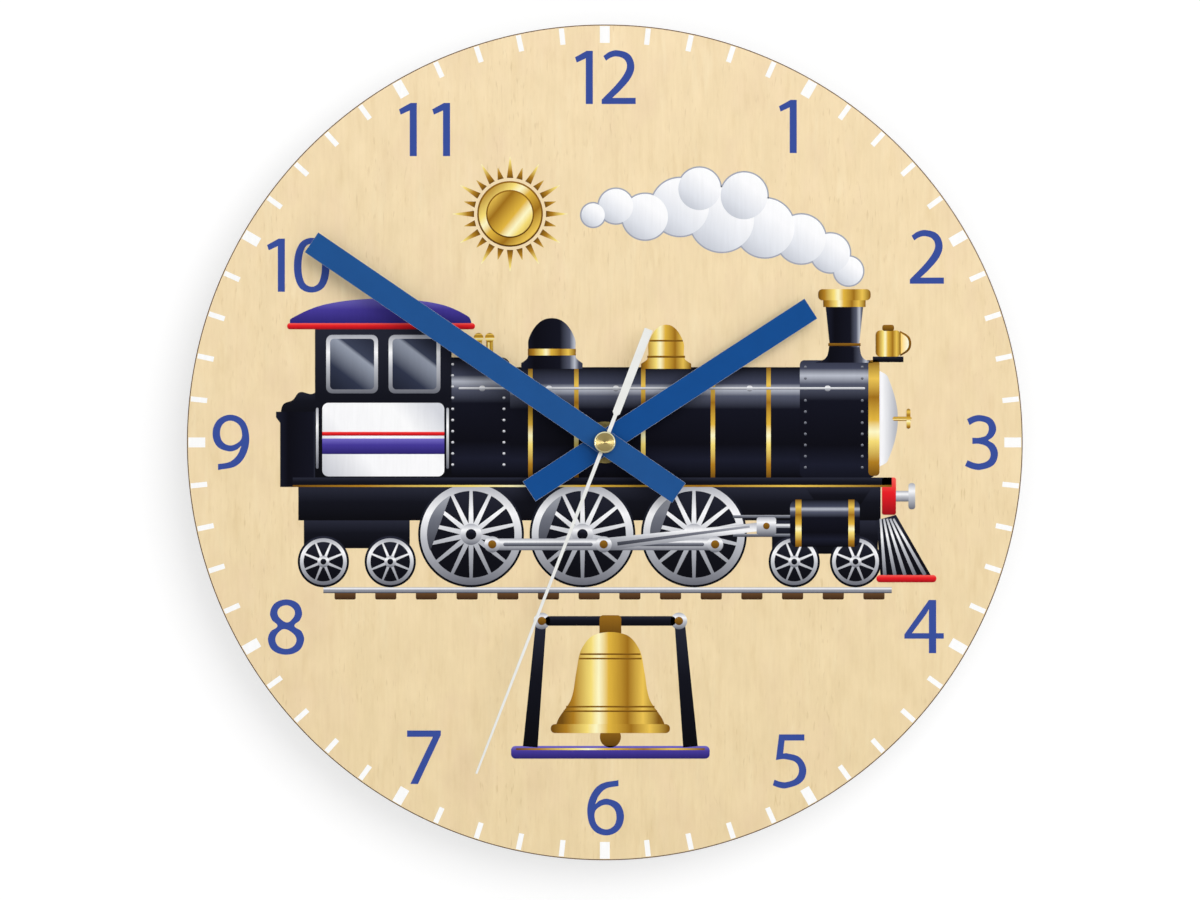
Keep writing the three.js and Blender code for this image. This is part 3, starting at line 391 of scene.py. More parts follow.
def capsule(start, end, width):
    turn = math.degrees(math.atan2(end[1] - start[1], end[0] - start[0]))
    far = arc(end[0], end[1], width / 2, turn - 90, turn + 90, 10)
    near = arc(start[0], start[1], width / 2, turn + 90, turn + 270, 10)
    return far + near


def s(x, y):
    """A smooth point of an outline."""
    return (x, y, True)


def across(left, right):
    return ((left, 0), (right, 0))


def upwards(low, high):
    return ((0, low), (0, high))


def mirrored(points, x):
    """An outline from its left half, read upwards, and the same points reflected about x."""
    return points + [(2 * x - p[0], *p[1:]) for p in reversed(points)]


SMOOTH_STEPS = 8


def curved(points):
    """Rounds an outline through its smooth points and keeps its corners."""
    marked = [(Vector(p[:2]), len(p) > 2) for p in points]
    count = len(marked)
    result = []
    for i, (here, soft) in enumerate(marked):
        following, following_soft = marked[(i + 1) % count]
        result.append(tuple(here))
        if not (soft or following_soft):
            continue
        reach = (following - here).length
        leave = (following - marked[i - 1][0]).normalized() * reach if soft else following - here
        beyond = marked[(i + 2) % count][0]
        arrive = (beyond - here).normalized() * reach if following_soft else following - here
        for step in range(1, SMOOTH_STEPS):
            t = step / SMOOTH_STEPS
            point = here * (2 * t**3 - 3 * t**2 + 1) + leave * (t**3 - 2 * t**2 + t)
            point += following * (3 * t**2 - 2 * t**3) + arrive * (t**3 - t**2)
            result.append(tuple(point))
    return result


def add_slab(mesh, loops, low, high, point, index=0):
    """Adds a closed slab between two depths; loops holds its outline, then its holes."""
    rings = [[[point(mesh, spot, depth) for spot in loop] for loop in loops] for depth in (low, high)]
    triangles = tessellate_polygon([[Vector((x, y, 0)) for x, y in loop] for loop in loops])
    for ring in rings:
        flat = [vertex for loop in ring for vertex in loop]
        for triangle in triangles:
            mesh.faces.new([flat[i] for i in triangle]).material_index = index
    for near, far in zip(*rings):
        for i in range(len(near)):
            mesh.faces.new([near[i - 1], near[i], far[i], far[i - 1]]).material_index = index


def plain_point(mesh, spot, depth):
    return mesh.verts.new(place(spot[0], spot[1], depth))


INK_STEP = 0.012


class Print:
    """One printed piece: thin closed slabs of ink that stand on the front of the dial."""

    def __init__(self, name, size=1.0, about=(0, 0)):
        self.name = name
        self.size = size
        self.about = Vector(about)
        self.mesh = bmesh.new()
        self.shade = self.mesh.verts.layers.float.new(SHADE)
        self.materials = []

    def lay(self, level, material, outline, *holes, span=None, wide=False):
        """Adds a slab as high as its level, shaded along span, across its width or up its height."""
        if material not in self.materials:
            self.materials.append(material)
        index = self.materials.index(material)
        places = [p[0 if wide else 1] for p in outline]
        own_span = (across if wide else upwards)(min(places), max(places))
        start, end = [Vector(point) for point in span or own_span]
        along = (end - start) / (end - start).length_squared

        def shaded_point(mesh, spot, depth):
            moved = self.about + (Vector(spot) - self.about) * self.size
            vertex = plain_point(mesh, moved, depth)
            vertex[self.shade] = (Vector(spot) - start).dot(along)
            return vertex

        top = DIAL_FRONT + INK_STEP * level
        add_slab(self.mesh, [outline, *holes], DIAL_FRONT, top, shaded_point, index)

    def finish(self):
        bmesh.ops.recalc_face_normals(self.mesh, faces=self.mesh.faces)
        return new_piece(self.name, self.mesh, self.materials, "case")


SHARP_ANGLE = math.radians(28)


def new_mesh(name, mesh):
    data = bpy.data.meshes.new(name)
    mesh.to_mesh(data)
    mesh.free()
    return data


def new_piece(name, mesh, materials, body, smooth=False):
    data = new_mesh(name, mesh)
    for material in materials:
        data.materials.append(material)
    if smooth:
        data.shade_smooth()
        data.set_sharp_from_angle(angle=SHARP_ANGLE)
    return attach(new_object(name, data), body)


TOUCHING = 1e-7


def skin(name, materials, rings, indices, body):
    """Joins a run of rings of points into one closed shell, with the last ring joined to the first."""
    mesh = bmesh.new()
    made = [[mesh.verts.new(point) for point in ring] for ring in rings]
    for k, index in enumerate(indices):
        a = made[k]
        b = made[(k + 1) % len(made)]
        for i in range(len(a)):
            mesh.faces.new([a[i - 1], a[i], b[i], b[i - 1]]).material_index = index
    bmesh.ops.remove_doubles(mesh, verts=mesh.verts, dist=TOUCHING)
    bmesh.ops.recalc_face_normals(mesh, faces=mesh.faces)
    return new_piece(name, mesh, materials, body, True)


def upright_ring(radius, depth, segments):
    """A ring about the arbor of the hands."""
    return [place(radius * math.cos(a), radius * math.sin(a), depth) for a in turns(segments)]


def lathe(name, materials, profile, body, segments=128):
    """Turns a closed profile of (radius, depth, material index) about the arbor of the hands."""
    rings = [upright_ring(radius, depth, segments) for radius, depth, _ in profile]
    return skin(name, materials, rings, [index for _, _, index in profile], body)


# Stage and lights

WORLD_SHARE = 0.52
LOW_SKY = 0.3
SKY_LOW_END = -0.8
SKY_HIGH_END = 0.4
WALL_GLOW = 0.62
WALL_SHADE = 0.45
WALL_GAP = 0.5
WALL_REACH = 900.0
FLOOR_GLOW = 0.9
FLOOR_SHADE = 0.2
FLOOR_HEIGHT = -1100.0
FLOOR_REACH = 12000.0
FEW_BOUNCES = 1.5
GLOSSY_ONLY = (True, False)
DIFFUSE_ONLY = (False, True)
BOTH = (True, True)
# Lamps: direction from the dial, distance and width in metres, share of full light, and what shows it
LAMPS = {
    "key": ((0.47, 0.40, 0.79), 5.0, 4.66, 0.46, DIFFUSE_ONLY),
    "front": ((0.0, 0.0, 1.0), 5.0, 5.77, 0.12, DIFFUSE_ONLY),
    "gloss_right": ((0.4, 0.0, 1.0), 1.5, 0.3, 0.16, GLOSSY_ONLY),
    "gloss_left": ((-0.4, 0.0, 1.0), 1.5, 0.3, 0.16, GLOSSY_ONLY),
    "side_right": ((1.0, 0.1, -0.25), 1.8, 1.4, 0.35, BOTH),
    "side_left": ((-1.0, 0.1, -0.25), 1.8, 1.4, 0.35, BOTH),
    "side_top": ((0.0, 1.0, -0.25), 1.8, 1.4, 0.35, BOTH),
    "side_bottom": ((0.0, -1.0, -0.25), 1.8, 1.4, 0.35, BOTH),
    "back": ((-0.2, 0.3, -1.0), 1.8, 1.4, 0.2, BOTH),
}


def stage_material(name, glow, shade, one_sided):
    """Plain white for the camera, with the soft part of the shadows, and nothing to any other ray."""
    material = bpy.data.materials.new(name)
    material.use_nodes = True
    tree = material.node_tree
    tree.nodes.clear()
    diffuse = node(tree, "ShaderNodeBsdfDiffuse", {"Color": grey(shade)})
    light = node(tree, "ShaderNodeEmission", {"Color": grey(1), "Strength": glow})
    seen = node(tree, "ShaderNodeAddShader", {0: diffuse, 1: light})
    path = node(tree, "ShaderNodeLightPath")
    shown = path.outputs["Is Camera Ray"]
    clear = node(tree, "ShaderNodeBsdfTransparent")
    if one_sided:
        facing = calc(tree, "SUBTRACT", 1.0, node(tree, "ShaderNodeNewGeometry").outputs["Backfacing"])
        shown = calc(tree, "MULTIPLY", shown, facing)
        bounces = calc(tree, "ADD", path.outputs["Diffuse Depth"], path.outputs["Is Shadow Ray"])
        blocked = calc(tree, "GREATER_THAN", bounces, FEW_BOUNCES)
        dark = node(tree, "ShaderNodeBsdfDiffuse", {"Color": grey(0)})
        clear = node(tree, "ShaderNodeMixShader", {0: blocked, 1: clear, 2: dark})
    mix = node(tree, "ShaderNodeMixShader", {0: shown, 1: clear, 2: seen})
    node(tree, "ShaderNodeOutputMaterial", {"Surface": mix})
    return material


def stage_plane(name, corners, material):
    data = bpy.data.meshes.new(name)
    data.from_pydata([place(*corner) for corner in corners], [], [(0, 1, 2, 3)])
    data.materials.append(material)
    new_object(name, data)


def square(reach):
    return box(-reach, -reach, reach, reach)


def make_stage():
    wall = [(x, y, -WALL_GAP) for x, y in square(WALL_REACH)]
    stage_plane("wall", wall, stage_material("wall_white", WALL_GLOW, WALL_SHADE, True))
    floor = [(x, FLOOR_HEIGHT, -z) for x, z in square(FLOOR_REACH)]
    stage_plane("floor", floor, stage_material("floor_white", FLOOR_GLOW, FLOOR_SHADE, False))


def make_world():
    world = bpy.data.worlds.new("world")
    bpy.context.scene.world = world
    world.use_nodes = True
    tree = world.node_tree
    tree.nodes.clear()
    path = node(tree, "ShaderNodeLightPath").outputs
    height = axes(tree, node(tree, "ShaderNodeTexCoord").outputs["Generated"])[2]
    mirrored_sky = mapped(tree, height, SKY_LOW_END, SKY_HIGH_END, LOW_SKY, 1.0)
    straight = calc(tree, "MAXIMUM", path["Is Camera Ray"], path["Is Transmission Ray"])
    sky = mapped(tree, straight, 0.0, 1.0, WORLD_SHARE, 1.0)
    sockets = {0: path["Is Glossy Ray"], FIRST_NUMBER: sky, SECOND_NUMBER: mirrored_sky}
    strength = node(tree, "ShaderNodeMix", sockets)
    back = node(tree, "ShaderNodeBackground", {"Color": grey(1), "Strength": strength})
    node(tree, "ShaderNodeOutputWorld", {"Surface": back})


def lamp(name, direction, distance, size, share, shown):
    """A disc lamp that adds the given share of full light to a surface that faces it."""
    facing = Vector(direction).normalized()
    data = bpy.data.lights.new(name, "AREA")
    data.shape = "DISK"
    data.size = size
    data.energy = share * math.pi**2 * (distance**2 + size**2 / 4)
    made = new_object(name, data)
    spot = Vector((facing.x, -facing.z, facing.y)) * distance
    made.location = spot
    made.rotation_mode = "QUATERNION"
    made.rotation_quaternion = (-spot).to_track_quat("-Z", "Y")
    made.visible_camera = False
    made.visible_glossy, made.visible_diffuse = shown


make_stage()
make_world()
for lamp_name, facts in LAMPS.items():
    lamp(lamp_name, *facts)
bpy.context.scene.view_settings.view_transform = "Standard"

# Dial board

BOLT_HOLE = 4.3
HOLE_BREAK = 0.1
EDGE_BREAK = 0.2
BURN_LINE = 0.36
DIAL_SEGMENTS = 360

birch_face = birch()
burnt = burnt_edge()


def make_dial():
    profile = [
        (BOLT_HOLE, DIAL_BACK, 1), (BOLT_HOLE, DIAL_FRONT - HOLE_BREAK, 1),
        (BOLT_HOLE + HOLE_BREAK, DIAL_FRONT, 0), (DIAL_RADIUS - BURN_LINE, DIAL_FRONT, 1),
        (DIAL_RADIUS, DIAL_FRONT - EDGE_BREAK, 1), (DIAL_RADIUS, DIAL_BACK + EDGE_BREAK, 1),
        (DIAL_RADIUS - BURN_LINE, DIAL_BACK, 0),
    ]
    board = lathe("dial_plywood", [birch_face, burnt], profile, "case", DIAL_SEGMENTS)
    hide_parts("dial_board")


make_dial()

# Numerals: outlines in hundredths of the height of a capital

CAP_HEIGHT = 19.1
CAP_UNITS = 100
DIGITS = {
    "1": [[(0, 87.9), (21.9, 100), (33.5, 100), (33.5, 0), (20.2, 0), (20.2, 85.8), (3.1, 77.9)]],
    "2": [[
        (3.2, 90.2), s(14.6, 98), s(30.1, 101), s(52.6, 93), s(61.6, 71.3), s(55.1, 49.7), s(37.3, 27.9),
        (20, 11.5), (64, 11.6), (64, 0), (0, 0), (0, 8.2), s(26.2, 35.1), s(42.3, 56.2), s(47.6, 72.2),
        s(41.9, 84.6), s(28, 89.4), s(17, 87), (8.2, 81.3),
    ]],
    "3": [[
        (3.9, 92.5), s(15.1, 98), s(28.9, 100), s(50.1, 92.9), s(58.7, 75.4), s(53.6, 60.5), (43.6, 52.5),
        s(56, 43.9), s(62, 26.5), s(53.5, 6.1), s(28.4, -3), s(13.2, -1), (0, 4.4), (4.8, 15.3),
        s(16.2, 10.6), s(28.1, 9.2), s(43.2, 14.8), s(48.1, 26.5), s(41.8, 40.2), s(26.6, 45.9),
        (13.8, 45.9), (13.8, 57.5), s(26.7, 57.5), s(39.8, 62.1), s(44.7, 74.4), s(40.8, 84.2),
        s(28.2, 88.3), s(18.2, 86.5), (8.6, 81),
    ]],
    "4": [[
        (46, 100), (59.7, 100), (59.7, 37.6), (74, 37.6), (74, 27.2), (59.7, 27.2), (59.7, 0), (46, 0),
        (46, 27.2), (0, 27.2), (0, 35.3),
    ], [
        (46, 37.6), (46, 82.6), (41.4, 74), (14.3, 37.6),
    ]],
    "5": [[
        (59.5, 99), (59.5, 87.4), (22.3, 87.4), (19.6, 63), s(26.7, 63.5), s(51, 55.5), s(63, 32.8),
        s(54.5, 9.5), s(24.8, -2.5), s(11.4, -1), (0, 3.2), (3.3, 13.8), s(14.1, 10.1), s(25.1, 9.2),
        s(42.3, 15.9), s(49.4, 31.7), s(42.8, 46.5), s(23.6, 52.3), s(15.5, 52.3), (5.9, 50.7), (11.9, 99),
    ]],
    "6": [[
        (58.7, 101), (58.7, 89.8), s(36.3, 85.3), s(22.3, 72.7), (14.8, 55.5), s(23.9, 62.9), s(38.5, 65.9),
        s(60.5, 56.3), s(69, 32.2), s(59.5, 7.1), s(34.5, -3), s(9.4, 9.1), s(0, 40.5), s(6.4, 71.9),
        s(24.8, 93.4),
    ], [
        s(35, 54.7), s(17.8, 46.5), s(13.6, 34.2), s(19.3, 16.4), s(35, 8.3), s(49.7, 14.9), s(54.9, 31.2),
        s(49.7, 48),
    ]],
    "7": [[(0, 100.5), (63.5, 100.5), (63.5, 92), (20.5, 0), (6.1, 0), (48.4, 88.6), (0, 88.6)]],
    "8": [[
        s(34.5, 101), s(56, 93.9), s(64.1, 76.1), s(60.1, 61.9), s(49.8, 51.5), s(62.5, 41.6), s(68, 25.3),
        s(58.5, 5.1), s(34, -3), s(9.1, 5.1), s(0, 24.3), s(5, 40.6), s(17.7, 51.1), s(7.9, 61.9),
        s(3.9, 75.6), s(13, 93.9),
    ], [
        s(34.5, 90), s(21.9, 85.3), s(17.8, 76.1), s(22.4, 65.8), s(36.4, 57.8), s(46.5, 65.3),
        s(50.7, 75.5), s(46.1, 85.3),
    ], [
        s(31.1, 45.2), s(19, 38.1), s(13.9, 25.9), s(19.5, 13.2), s(34, 8), s(48.1, 13.2), s(53.6, 25.4),
        s(47.6, 36.6),
    ]],
    "0": [[
        s(33.5, 101.5), s(57.6, 89.4), s(67, 50), s(58.1, 10.6), s(33, -1.5), s(8.9, 10.1), s(0, 49.5),
        s(9.9, 89.4),
    ], [
        s(33.5, 90.4), s(20.5, 82.4), s(14.3, 49.5), s(19.6, 18), s(33.5, 9.6), s(46.9, 17.6), s(52.7, 50),
        s(47.4, 81.9),
    ]],
}
SIX_WIDTH = 69
SIX_HEIGHT = 98
DIGITS["9"] = [[(SIX_WIDTH - p[0], SIX_HEIGHT - p[1], *p[2:]) for p in loop] for loop in DIGITS["6"]]
NUMERALS = [
    ("12", 0.2, 131.0, 16.5), ("1", 65.7, 113.4, 0), ("2", 115.6, 66.5, 0), ("3", 135.2, 0.25, 0),
    ("4", 114.6, -66.1, 0), ("5", 66.3, -114.15, 0), ("6", 0.3, -130.95, 0), ("7", -64.9, -113.05, 0),
    ("8", -114.4, -66.1, 0), ("9", -134.2, 0.2, 0), ("10", -110.0, 63.6, 17.0), ("11", -64.7, 112.3, 29.0),
]


def width_of(digit):
    return max(p[0] for p in DIGITS[digit][0])


def make_numerals():
    numerals = Print("dial_numerals")
    blue = plain_ink("numeral_blue", 57, 79, 156)
    scale = CAP_HEIGHT / CAP_UNITS
    foot = CAP_UNITS / 2
    for text, x, y, gap in NUMERALS:
        widths = [width_of(digit) for digit in text]
        left = -(sum(widths) + gap * (len(text) - 1)) / 2
        for digit, width in zip(text, widths):
            loops = []
            for loop in DIGITS[digit]:
                loops.append([(x + (left + u) * scale, y + (v - foot) * scale) for u, v in curved(loop)])
            numerals.lay(1, blue, *loops)
            left += width + gap
    numerals.finish()


# Marks round the dial: width, inner radius and outer radius
HOUR_MARK = (3.55, 143.4, 149.45)
MINUTE_MARK = (1.85, 143.5, 149.4)
MINUTES = 60
HOUR_STEP = 5


def ring_mark(index, width, inner, outer):
    a = FULL_TURN * index / MINUTES
    along = (math.sin(a), math.cos(a))
    return bar((along[0] * inner, along[1] * inner), (along[0] * outer, along[1] * outer), width)


def make_ticks():
    white = plain_ink("tick_white", 254, 254, 253)
    hours = Print("hour_ticks")
    minutes = Print("minute_ticks")
    for i in range(MINUTES):
        if i % HOUR_STEP == 0:
            hours.lay(1, white, ring_mark(i, *HOUR_MARK))
        else:
            minutes.lay(1, white, ring_mark(i, *MINUTE_MARK))
    hours.finish()
    minutes.finish()


make_numerals()
make_ticks()

# Picture on the dial: a steam engine on its track, a sun, and a brass bell

SOOT = ink("soot", (0, 6, 6, 12), (0.55, 16, 17, 27), (1, 38, 40, 54))
BOILER = ink(
    "boiler", (0, 4, 4, 10), (0.16, 24, 26, 42), (0.3, 8, 8, 18), (0.62, 16, 17, 30),
    (0.74, 84, 88, 106), (0.8, 186, 190, 202), (0.85, 66, 70, 90), (1, 6, 6, 14),
)
STEEL = ink("steel", (0, 104, 106, 116), (0.45, 190, 192, 199), (0.7, 250, 250, 252), (1, 168, 170, 179))
SHADED_STEEL = ink("shaded_steel", (0, 50, 52, 62), (0.6, 112, 115, 126), (1, 166, 169, 178))
GOLD = ink(
    "gold", (0, 112, 74, 16), (0.12, 176, 126, 34), (0.3, 247, 222, 120), (0.38, 255, 248, 200),
    (0.48, 226, 182, 66), (0.68, 158, 110, 26), (0.84, 236, 196, 84), (1, 128, 86, 20),
)
DARK_GOLD = ink("dark_gold", (0, 92, 60, 12), (1, 150, 104, 28))
WHITE = ink(
    "panel_white", (0, 196, 198, 206), (0.35, 250, 250, 252), (0.75, 252, 252, 253), (1, 214, 216, 223),
)
RED = ink("red", (0, 150, 14, 24), (0.6, 232, 30, 38), (1, 246, 92, 84))
VIOLET = ink("violet", (0, 40, 32, 104), (0.6, 70, 58, 152), (1, 118, 108, 198))
GLASS = ink(
    "glass", (0, 12, 13, 22), (0.35, 46, 52, 72), (0.62, 150, 157, 172), (0.66, 58, 64, 84), (1, 22, 24, 38),
)
STEAM = ink("steam", (0, 176, 181, 194), (0.4, 226, 229, 236), (0.75, 252, 252, 254), (1, 255, 255, 255))
STEAM_EDGE = plain_ink("steam_edge", 160, 165, 180)
TIMBER = ink("timber", (0, 58, 38, 22), (1, 112, 78, 46))
LAMP_GLOW = ink("lamp_glow", (0, 255, 206, 84), (1, 255, 252, 224))

RAIL_TOP = -52.0
SLEEPER_COUNT = 14
SLEEPER_FIRST = -97.0
SLEEPER_APART = 14.6
SLEEPER_LENGTH = 7.6


def draw_track(lay):
    for i in range(SLEEPER_COUNT):
        x = SLEEPER_FIRST + SLEEPER_APART * i
        lay(1, TIMBER, round_box(x, -56.4, x + SLEEPER_LENGTH, -53.2, 0.6))
    lay(2, SHADED_STEEL, box(-101, -54.1, 103, -53.4))
    lay(3, STEEL, box(-101, -53.4, 103, RAIL_TOP))


DRIVERS = (-48.0, -8.0, 32.0)
DRIVER_RADIUS = 19.0
DRIVER_FACTS = (14, 3.4, 3.8)
SMALL_WHEELS = (-101.0, -77.0, 68.0, 90.0)
SMALL_RADIUS = 9.2
SMALL_FACTS = (8, 2.1, 2.1)
TYRE = 0.8
SPOKE_OVERLAP = 0.3
WEIGHT_OVERLAP = 0.2
BOARD_LOW = -16.0
BOARD_TOP = -12.6


def draw_wheel(lay, x, radius, spokes, rim, hub):
    """A spoked wheel on the rail: rim is the width of its steel ring, hub the radius of its boss."""
    y = RAIL_TOP + radius
    lay(3, SOOT, circle(x, y, radius, 72))
    lay(4, STEEL, circle(x, y, radius - TYRE, 72), circle(x, y, radius - rim, 72))
    centre = Vector((x, y))
    for i in range(spokes):
        a = FULL_TURN * (i + 0.5) / spokes
        tip = centre + Vector((math.cos(a), math.sin(a))) * (radius - rim + SPOKE_OVERLAP)
        lay(5, STEEL, bar(centre, tip, hub * 0.52, hub * 0.3), span=((x, y - radius), (x, y + radius)))
    if radius == DRIVER_RADIUS:
        lay(6, SHADED_STEEL, arc(x, y, radius - rim + WEIGHT_OVERLAP, 118, 202, 16))
    lay(7, STEEL, circle(x, y, hub, 40))
    lay(8, SOOT, circle(x, y, hub * 0.5, 32))


def draw_wheels(lay):
    lay(1, SOOT, box(-110, -28, 99, BOARD_LOW))
    lay(2, SOOT, box(-108, -38, -70, -28))
    lay(2, SOOT, box(60, -40, 98, -28))
    for x in DRIVERS:
        draw_wheel(lay, x, DRIVER_RADIUS, *DRIVER_FACTS)
    for x in SMALL_WHEELS:
        draw_wheel(lay, x, SMALL_RADIUS, *SMALL_FACTS)


CRANK_X = 7.6
CRANK_Y = -3.6
GROOVE_END = 4.6
CROSSHEAD = (58.0, -30.0)


def draw_rods(lay):
    y = RAIL_TOP + DRIVER_RADIUS + CRANK_Y
    pins = [(x + CRANK_X, y) for x in DRIVERS]
    lay(9, STEEL, capsule(pins[0], pins[-1], 4.2))
    for left, right in zip(pins, pins[1:]):
        lay(10, SHADED_STEEL, capsule((left[0] + GROOVE_END, y), (right[0] - GROOVE_END, y), 1.3))
    lay(9, STEEL, box(58, -30.7, 68, -29.2))
    lay(9, SHADED_STEEL, box(46, -27.2, 68, -26.1))
    lay(9, SHADED_STEEL, box(46, -33.9, 68, -32.8))
    lay(11, STEEL, bar(pins[1], CROSSHEAD, 4.4, 3.0))
    lay(12, SHADED_STEEL, bar((4.5, y + 0.2), (52.0, -30.2), 1.3, 0.8))
    lay(12, STEEL, round_box(54.5, -33.2, 61.5, -26.8, 1.0))
    for x, _ in pins:
        lay(13, STEEL, circle(x, y, 2.9, 32))
        lay(14, DARK_GOLD, circle(x, y, 1.5, 24))
    lay(14, DARK_GOLD, circle(*CROSSHEAD, 1.2, 20))


CATCHER = [(97.5, -28), (104.5, -26), (117.5, -48.5), (99, -48.5)]
CATCHER_BARS = 5


def draw_board(lay):
    lay(9, SOOT, box(-112, BOARD_LOW, 103, BOARD_TOP))
    lay(10, GOLD, box(-112, BOARD_LOW, 103, BOARD_LOW + 0.7), wide=True)
    lay(9, SOOT, [(72, BOARD_LOW), (76, -22), (92, -22), (96, BOARD_LOW)])
    lay(11, BOILER, round_box(66.5, -37.5, 91.5, -20.5, 2.6))
    for x in (68.4, 87.4):
        lay(12, GOLD, box(x, -37.5, x + 2.2, -20.5))
    lay(9, RED, round_box(99.5, -26, 104.5, BOARD_TOP, 0.8))
    lay(10, STEEL, box(104.5, -21.2, 109, -17.4))
    lay(11, STEEL, round_box(109, -24, 111.4, -14.6, 1.0))
    lay(9, SOOT, CATCHER)
    for i in range(CATCHER_BARS):
        top = (99.0 + 1.15 * i, -27.4)
        foot = (100.5 + 3.6 * i, -47.6)
        lay(10, STEEL, bar(top, foot, 0.7, 1.3), span=upwards(-48, -27))
    lay(11, RED, round_box(97.5, -50.2, 119, -47.6, 1.2))


BOILER_TOP = 27.0
HANDRAIL_Y = 19.4
DOOR = [(98, -9), s(101.6, -6.5), s(105.2, 8.5), s(101.6, 23.5), (98, 26)]
RIVET = 0.5


def draw_boiler(lay):
    lay(2, BOILER, box(-56, BOARD_TOP, 74, BOILER_TOP))
    lay(4, BOILER, round_box(-58, BOARD_TOP, -34, 30.5, 3.0))
    for y in range(-8, 30, 4):
        for x in (-36.2, -54.6):
            lay(6, STEEL, circle(x, y, RIVET, 12))
    for x in (-27.5, -11.0, 13.0, 38.0, 58.0):
        lay(3, GOLD, box(x, BOARD_TOP, x + 1.6, BOILER_TOP))
    lay(4, BOILER, round_box(70, BOARD_TOP, 97, 29.5, 1.6), span=upwards(-16, 34))
    for y in range(-9, 29, 4):
        for x in (72, 92.4):
            lay(6, SHADED_STEEL, circle(x, y, RIVET, 12))
    lay(3, STEEL, curved(DOOR), span=across(112, 94))
    lay(5, GOLD, round_box(94.6, -12.0, 98.6, 29.6, 1.4))
    lay(6, GOLD, capsule((104, 8.5), (109.4, 8.5), 1.5))
    lay(7, GOLD, capsule((109, 5.6), (109, 11.4), 1.4))
    lay(7, STEEL, capsule((-52, HANDRAIL_Y), (93, HANDRAIL_Y), 0.9))
    for x in (-44, -20, 4, 28, 52, 80):
        lay(8, STEEL, circle(x, HANDRAIL_Y, 1.1, 20))


SAND_DOME = [(13, 26.4), (13, 28.2), s(15.4, 30.2), s(15.8, 36), s(19.6, 41.6)]
SAND_DOME_X = 22
STEAM_DOME = [(-30, 26.4), (-30, 28.4), s(-27.6, 30.6), s(-27.2, 37.5), s(-22.4, 43.8)]
STEAM_DOME_X = -19
CHIMNEY_FOOT = [(75.5, 28.6), s(79.4, 30.4), (80.6, 34.6), (91.4, 34.6), s(92.6, 30.4), (96.5, 28.6)]
CHIMNEY = [(80.8, 34.2), (91.2, 34.2), (93, 51.5), (79, 51.5)]
LAMP_RIM = [(106, 30.9), s(109.2, 33), s(110, 35.5), s(109.2, 38), (106, 40.1)]
LENS = [(106.2, 31.7), s(108.5, 33.4), s(109.1, 35.5), s(108.5, 37.6), (106.2, 39.3)]
VALVE_WIDTH = 2.4


def draw_domes(lay):
    lay(5, GOLD, curved(mirrored(SAND_DOME, SAND_DOME_X)), wide=True)
    lay(6, DARK_GOLD, box(15.2, 30.4, 28.8, 31.1))
    lay(6, DARK_GOLD, box(16.0, 36.2, 28.0, 36.8))
    lay(5, BOILER, curved(mirrored(STEAM_DOME, STEAM_DOME_X)), span=across(-34, -5))
    lay(6, GOLD, box(-27.6, 31.2, -10.4, 33.6), wide=True)
    for x in (-46.5, -42.5):
        lay(5, GOLD, round_box(x, 29.8, x + VALVE_WIDTH, 36.8, 0.6), wide=True)
        lay(6, GOLD, circle(x + VALVE_WIDTH / 2, 37.6, 1.7, 24))
    lay(5, BOILER, curved(CHIMNEY_FOOT), span=across(73, 99))
    lay(6, BOILER, CHIMNEY, span=across(77, 95))
    lay(7, GOLD, box(78.4, 48.6, 93.6, 51.0), wide=True)
    lay(8, GOLD, round_box(76.6, 51.0, 95.4, 55.0, 1.5), wide=True)
    lay(7, DARK_GOLD, box(80.2, 34.6, 91.8, 35.6))
    lay(5, SOOT, box(96.2, 28.8, 107.2, 30.8))
    lay(6, GOLD, round_box(97.2, 30.8, 106.2, 40.2, 1.6), wide=True)
    lay(7, DARK_GOLD, round_box(99.6, 40.0, 103.8, 42.2, 0.8))
    lay(5, DARK_GOLD, curved(LAMP_RIM))
    lay(7, LAMP_GLOW, curved(LENS), span=across(106, 109))


COAL = [(-116.5, 8), s(-115.5, 13.5), s(-112, 15.2), s(-109.5, 18), s(-105, 17.4), s(-100, 20), (-98, 8)]
BUNKER = [(-116.5, BOARD_LOW), (-100, BOARD_LOW), (-100, 11), (-118, 11), (-118, 9), (-116.5, 7)]
ROOF = [(-113, 42), s(-112.6, 44.4), s(-100, 49.6), s(-80, 51.6), s(-60, 49.8), s(-49, 45.2), (-47.6, 42)]
PANE_WIDTH = 18.6
PANE_FRAME = 1.4


def draw_cab(lay):
    lay(3, SOOT, curved(COAL))
    lay(4, BOILER, BUNKER, span=across(-122, -94))
    lay(5, SOOT, box(-104, BOARD_LOW, -55, 43.5))
    lay(6, WHITE, round_box(-101.4, -12.2, -57.6, 14.2, 2.2), span=((-101, -12), (-66, 18)))
    lay(7, VIOLET, box(-101.4, -4.2, -57.6, 1.4))
    lay(7, RED, box(-101.4, 2.4, -57.6, 3.8))
    for left in (-100.0, -77.6):
        right = left + PANE_WIDTH
        pane = round_box(left + PANE_FRAME, 19, right - PANE_FRAME, 37.2, 1.4)
        lay(6, STEEL, round_box(left, 17.6, right, 38.6, 2.2))
        lay(7, GLASS, pane, span=((left, 16), (right, 40)))
    lay(8, VIOLET, curved(ROOF))
    lay(9, RED, round_box(-114, 40.6, -46.6, 42.8, 1.0))
    for x in (-103.2, -56.4):
        lay(9, STEEL, capsule((x, -9), (x, 12), 0.9))


